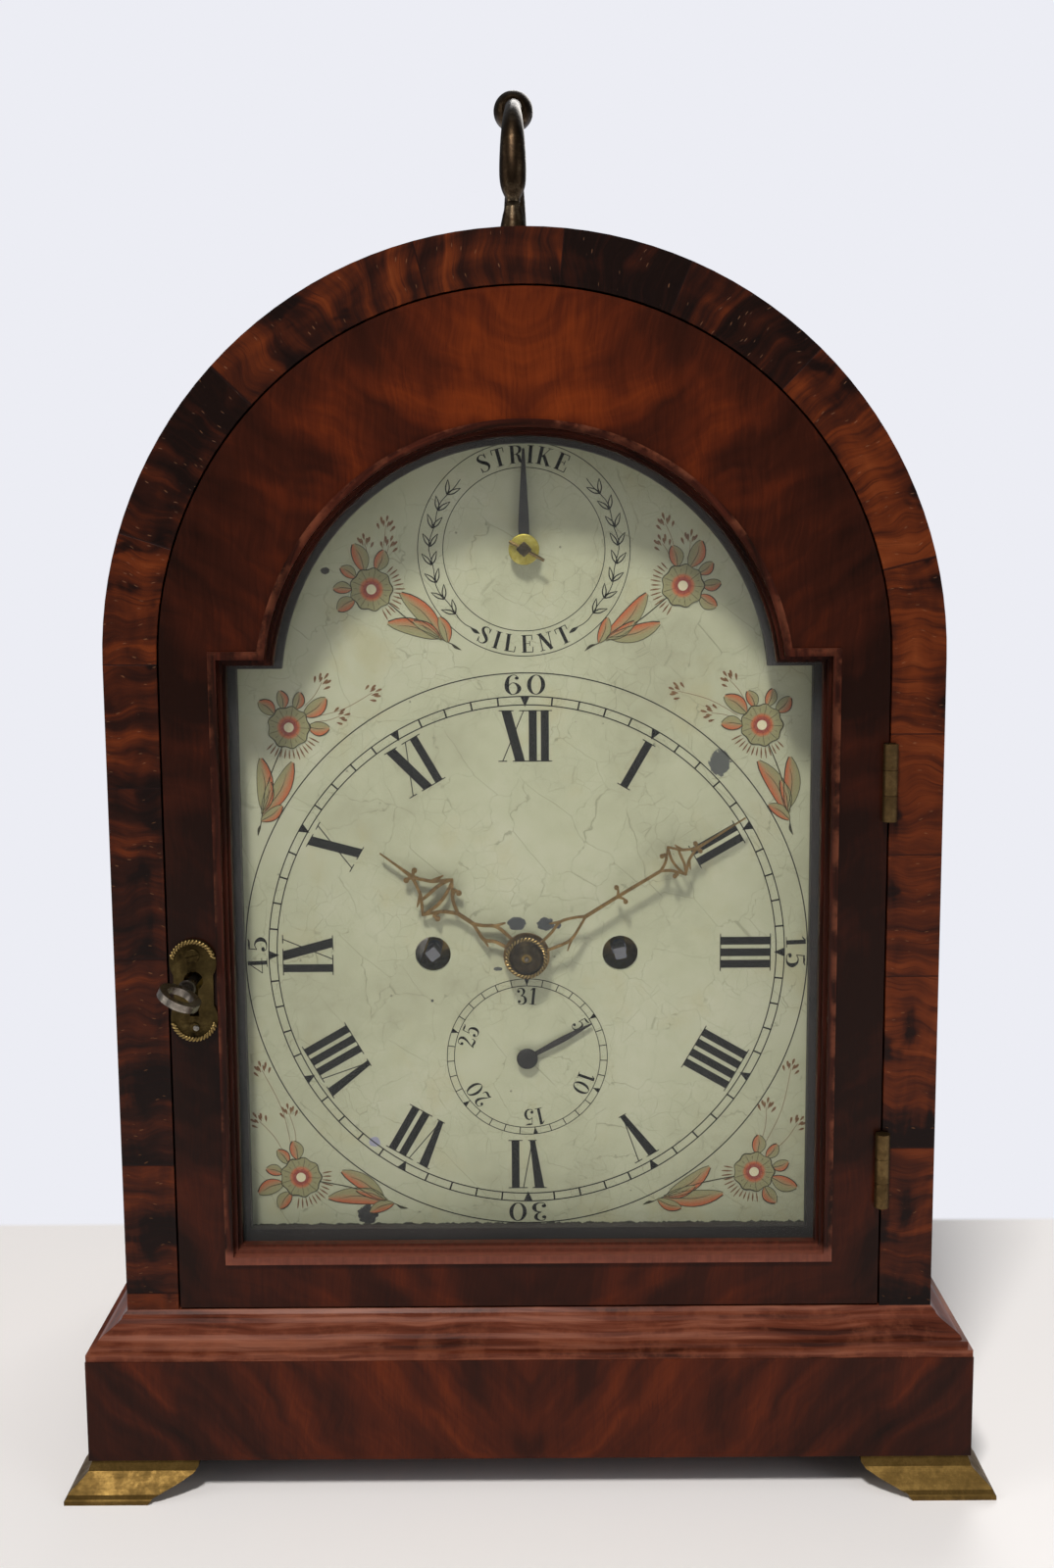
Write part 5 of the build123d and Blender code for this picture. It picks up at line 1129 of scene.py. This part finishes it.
# A leaf of the stalk is how far down the stalk it grows, its lean in degrees, its length and its width. A
# petal is its lean, its length and its width.
stalk_leaves = ((0.86, 194.0, 21.0, 6.0), (0.82, 162.0, 18.0, 5.6), (0.84, 178.0, 11.0, 3.4),
                (0.92, 218.0, 9.0, 4.0))
head_petals = ((-64.0, 6.8, 4.8), (-32.0, 6.2, 4.0), (4.0, 6.0, 4.0), (36.0, 9.6, 5.4), (72.0, 7.2, 4.8))


def spray(centre, stalk_end, sprig_ends, mirrored):
    """One spray: a stalk with four leaves, the flower over it, and a fan of petals beyond."""
    side = -1 if mirrored else 1
    petals.rise = outlines.rise = 0.0
    dx, dz = stalk_end[0] - centre[0], stalk_end[1] - centre[1]
    down = degrees(atan2(dx, dz))
    run = hypot(dx, dz)
    outlines.move(centre, down)
    outlines.curve((0.0, 4.0, 0.35), (side * 1.6, run * 0.55, 0.4), (0.0, run, 0.3))
    outlines.move(stalk_end, down)
    outlines.curve((0.0, -1.6, 0.1), (0.3, 0.2, 1.0), (0.0, 2.6, 0.1), steps=3)
    for share, lean, length, width in stalk_leaves:
        root = turned((side * 1.4 * sin(pi * share), run * share), down)
        leaf((centre[0] + root[0], centre[1] + root[1]), down + lean * side, length, width, side)
    for lean, length, width in head_petals:
        bearing = down + 180 + lean * side
        root = turned((0.0, head_radius - 0.3), bearing)
        leaf((centre[0] + root[0], centre[1] + root[1]), bearing + dice.uniform(-6, 6), length, width,
             dice.choice((-1, 1)))
    for i in range(13):
        bearing = down + 180 + side * (100 + i * 9.0)
        root = turned((0.0, head_radius + 0.6), bearing)
        buds.move((centre[0] + root[0], centre[1] + root[1]), bearing)
        buds.curve((0.0, 0.0, 0.12), (0.0, 1.8, 0.55), (0.0, 3.0 + dice.random(), 0.25), red=1.0, steps=3)
    flower_head(centre, head_radius)
    for end in sprig_ends:
        bearing = atan2(end[0] - centre[0], end[1] - centre[1])
        start = (centre[0] + 9.0 * sin(bearing), centre[1] + 9.0 * cos(bearing))
        bud_sprig(start, end)


spray((-51.6, 303.6), (-23.5, 284.4), ((-46.4, 325.0), (-53.6, 319.0), (-45.4, 318.4)), False)
spray((53.6, 304.2), (22.6, 283.8), ((47.6, 325.0), (56.0, 319.4), (46.6, 318.4)), True)
spray((-80.6, 257.0), (-91.4, 222.0), ((-52.0, 268.6), (-69.0, 272.4), (-63.0, 260.8)), False)
spray((80.8, 256.8), (91.2, 221.2), ((52.0, 268.6), (69.5, 272.4), (63.4, 261.0)), True)
spray((-80.2, 97.4), (-45.0, 86.4), ((-93.0, 136.4), (-84.0, 121.0), (-94.5, 118.0)), True)
spray((79.8, 98.4), (43.0, 87.2), ((92.4, 136.0), (84.0, 122.0), (95.0, 116.0)), False)

outline_ink = brushwork("outline_ink", shade("33301f"), shade("6a6a4c"), fade=0.5)
cream = brushwork("cream", shade("cfc8a4"), shade("b0a880"), fade=0.5)
petals.piece("flower_petals", petal_paint(), 0.04)
buds.piece("flower_buds", brushwork("bud_paint", shade("6a4a2e"), shade("8c7850"), fade=0.6), 0.04)
outlines.piece("flower_outlines", outline_ink, 0.07)
creams.piece("flower_centres", cream, 0.26)
print("dial paint laid")


# %% [markdown]
# Small metal trim that a maker adds last. The escutcheon has a cast rope edge at each end, and so has the
# collet of the hands: a rope is a row of slanted strands, so one strand is made from a sphere and copied
# round an arc. A slotted screw and a pin hold the escutcheon. The arbor of the strike lever ends in a
# square, which carries a yellow brass washer and the taper pin that keeps it on.

# %% Rope edges, screws and pins
strand_lean = radians(42.0)


def settle(piece, name, material, body):
    """Apply the piece's place, dress it and let it ride on its body."""
    choose(piece)
    bpy.ops.object.transform_apply(location=True, rotation=True, scale=True)
    bpy.ops.object.shade_smooth_by_angle(angle=radians(35))
    piece.name = name
    piece.data.materials.clear()
    piece.data.materials.append(material)
    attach(piece, body)


def at_point(point):
    return tuple(value * mm for value in point)


def rope(name, arcs, front, strand, material, body):
    """Slanted strands along arcs, each given as (x, z, radius, first bearing, last bearing, count)."""
    bpy.ops.mesh.primitive_uv_sphere_add(segments=8, ring_count=6, radius=mm)
    first = bpy.context.object
    strands = []
    for x, z, radius, start, end, count in arcs:
        for i in range(count):
            turn = radians(start + (end - start) * (i + 0.5) / count)
            strand_copy = first.copy()
            strand_copy.data = first.data.copy()
            strand_copy.scale = strand
            strand_copy.rotation_euler = (0.0, turn + strand_lean, 0.0)
            strand_copy.location = at_point((x + radius * sin(turn), front, z + radius * cos(turn)))
            bpy.context.collection.objects.link(strand_copy)
            strands.append(strand_copy)
    choose(first)
    bpy.ops.object.delete()
    choose(*strands)
    bpy.ops.object.join()
    settle(bpy.context.object, name, material, body)


def stud(name, point, radius, depth, material, body, groove=None, sides=28, rounding=0.35):
    """A round head that faces the viewer, with a rounded rim and, for a screw, a groove at an angle."""
    bpy.ops.mesh.primitive_cylinder_add(vertices=sides, radius=radius * mm, depth=depth * mm,
                                        location=at_point(point), rotation=(pi / 2, 0, 0))
    head = bpy.context.object
    rim = head.modifiers.new("rim", "BEVEL")
    rim.width = min(depth, radius) * rounding * mm
    rim.segments = 3
    bpy.ops.object.modifier_apply(modifier=rim.name)
    if groove is not None:
        place = (point[0], point[1] - depth / 2, point[2])
        bpy.ops.mesh.primitive_cube_add(size=mm, location=at_point(place),
                                        rotation=(0, radians(groove), 0))
        cutter = bpy.context.object
        cutter.scale = (radius * 2.4, depth * 0.9, radius * 0.22)
        choose(head)
        cut = head.modifiers.new("groove", "BOOLEAN")
        cut.operation = "DIFFERENCE"
        cut.object = cutter
        bpy.ops.object.modifier_apply(modifier=cut.name)
        choose(cutter)
        bpy.ops.object.delete()
    settle(head, name, material, body)


def bar_piece(name, start, end, radius, sides, material, body, slot):
    """A bar between two points: a square one has 4 sides."""
    a, b = Vector(start) * mm, Vector(end) * mm
    bpy.ops.mesh.primitive_cylinder_add(vertices=sides, radius=radius * mm, depth=(b - a).length,
                                        location=(a + b) / 2)
    bar = bpy.context.object
    bar.rotation_euler = (b - a).to_track_quat("Z", "Y").to_euler()
    choose(bar)
    rim = bar.modifiers.new("rim", "BEVEL")
    rim.width = radius * 0.12 * mm
    rim.segments = 2
    bpy.ops.object.modifier_apply(modifier=rim.name)
    settle(bar, name, material, body)


plate_low, plate_high = [[value / mm for value in corner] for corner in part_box("escutcheon")]
plate_x = (plate_low[0] + plate_high[0]) / 2
plate_radius = (plate_high[0] - plate_low[0]) / 2
plate_front = plate_low[1]
rope_radius = plate_radius - 0.7
rope("escutcheon_rope", ((plate_x, plate_high[2] - plate_radius, rope_radius, -78.0, 78.0, 17),
                         (plate_x, plate_low[2] + plate_radius, rope_radius, 102.0, 258.0, 17)),
     plate_front, (0.46, 0.5, 1.1), rope_gilt, "front_door")
stud("escutcheon_screw", (plate_x, plate_front - 0.15, plate_high[2] - 5.4), 2.3, 0.9,
     plate_brass, "front_door", groove=-14.0)
stud("escutcheon_pin", (plate_x + 0.6, plate_front - 0.1, plate_low[2] + 4.6), 1.0, 0.8,
     steel, "front_door", rounding=0.8)

collet_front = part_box("hand_collet")[0][1] / mm
flange_front = collet_front + 2.0
rope("collet_rope", ((*dial_centre, 6.55, 0.0, 360.0, 34),), flange_front - 0.1, (0.42, 0.55, 1.0),
     rope_gilt, "minute_hand")
stud("collet_pin", (dial_centre[0], collet_front - 0.1, dial_centre[1]), 0.85, 1.6,
     key_steel, "minute_hand", rounding=0.8)
stud("date_boss", (date_centre[0], dial_face - 2.2, date_centre[1]), 3.7, 1.2,
     dark_hand, "date_hand", rounding=0.7)

washer_front = dial_face - 4.1
stud("strike_washer", (strike_centre[0], dial_face - 3.55, strike_centre[1]), 5.2, 1.1,
     bright_brass, "strike_silent", sides=48, rounding=0.4)
bar_piece("strike_square", (strike_centre[0], washer_front + 0.4, strike_centre[1]),
          (strike_centre[0] + 0.01, washer_front - 2.6, strike_centre[1]), 2.7, 4,
          dark_bronze, "strike_silent", "brass")
pin_lean = radians(29.0)
pin_depth = washer_front - 1.2
pin_ends = [(strike_centre[0] + reach * cos(pin_lean), pin_depth, strike_centre[1] - reach * sin(pin_lean))
            for reach in (-5.6, 7.8)]
bar_piece("strike_taper_pin", *pin_ends, 0.55, 16, rope_gilt, "strike_silent", "brass")
print("trim pieces added")


# %% [markdown]
# A plain pale shelf carries the clock's shadow. It ends just behind the clock, as the photographed one
# does, in the colour of the room, which only the camera, mirrors and glass see.

# %% Floor and room
room_colour = shade("ecedf4")
floor_colour = shade("f7f3f1")
shelf_end = 143.0


def seen_directly(finish):
    """1 for rays from the camera, a mirror or glass, and 0 for rays that carry light to a surface."""
    rays = [finish.add("ShaderNodeLightPath", output=name)
            for name in ("Is Camera Ray", "Is Glossy Ray", "Is Transmission Ray")]
    return finish.maths("MAXIMUM", finish.maths("MAXIMUM", rays[0], rays[1]), rays[2])


bpy.ops.mesh.primitive_plane_add(size=14.0, location=(0, 0, 0))
floor = bpy.context.object
floor.name = "floor"
ground = Finish("floor_paint", roughness=0.5)
mottle = ground.noise(ground.vector(ground.x / 80.0, ground.y / 80.0, 0.0), 2.0)
ground.set("Base Color", ground.mix(mottle * 0.15, floor_colour, room_colour))
far = ground.step(ground.y, shelf_end, shelf_end + 6.0) * seen_directly(ground)
glow = ground.tree.nodes.new("ShaderNodeEmission")
glow.inputs["Color"].default_value = (*room_colour, 1.0)
blend_in = ground.tree.nodes.new("ShaderNodeMixShader")
ground.feed(blend_in.inputs[0], far)
ground.tree.links.new(ground.shader.outputs[0], blend_in.inputs[1])
ground.tree.links.new(glow.outputs[0], blend_in.inputs[2])
ground.tree.links.new(blend_in.outputs[0], ground.tree.nodes["Material Output"].inputs["Surface"])
floor.data.materials.append(ground.material)

world = bpy.data.worlds.new("room")
bpy.context.scene.world = world
world.use_nodes = True
sky = world.node_tree
ambient = sky.nodes["Background"]
ambient.inputs["Color"].default_value = (0.92, 0.95, 1.0, 1.0)
ambient.inputs["Strength"].default_value = 0.16
wall = sky.nodes.new("ShaderNodeBackground")
wall.inputs["Color"].default_value = (*room_colour, 1.0)
wall.inputs["Strength"].default_value = 1.0
path = sky.nodes.new("ShaderNodeLightPath")
chooser = sky.nodes.new("ShaderNodeMixShader")
sky.links.new(path.outputs["Is Camera Ray"], chooser.inputs[0])
sky.links.new(ambient.outputs[0], chooser.inputs[1])
sky.links.new(wall.outputs[0], chooser.inputs[2])
sky.links.new(chooser.outputs[0], sky.nodes["World Output"].inputs["Surface"])


# %% [markdown]
# One large soft lamp stands high in front and a little to the left: it throws the arch's shadow on the top
# of the dial. Weaker ones fill the sides and skim the crown.

# %% Lamps
warm, cool = (1.0, 0.98, 0.95), (0.94, 0.97, 1.0)


def soft_lamp(name, place, target_height, size, power, colour=warm):
    bpy.ops.object.light_add(type="AREA", location=place)
    lamp = bpy.context.object
    lamp.name = name
    lamp.data.energy = power
    lamp.data.size = size
    lamp.data.color = colour
    to_clock = Vector((0, 0, target_height)) - Vector(place)
    lamp.rotation_euler = to_clock.to_track_quat("-Z", "Y").to_euler()


soft_lamp("key_lamp", (-0.22, -1.0, 1.6), 0.2, 0.24, 24.5)
soft_lamp("fill_lamp", (1.3, -0.9, 0.7), 0.2, 1.0, 4.0, cool)
soft_lamp("left_lamp", (-1.4, -0.5, 0.8), 0.25, 1.0, 5.0)
soft_lamp("back_lamp", (0.4, 1.4, 1.2), 0.25, 1.0, 10.0)
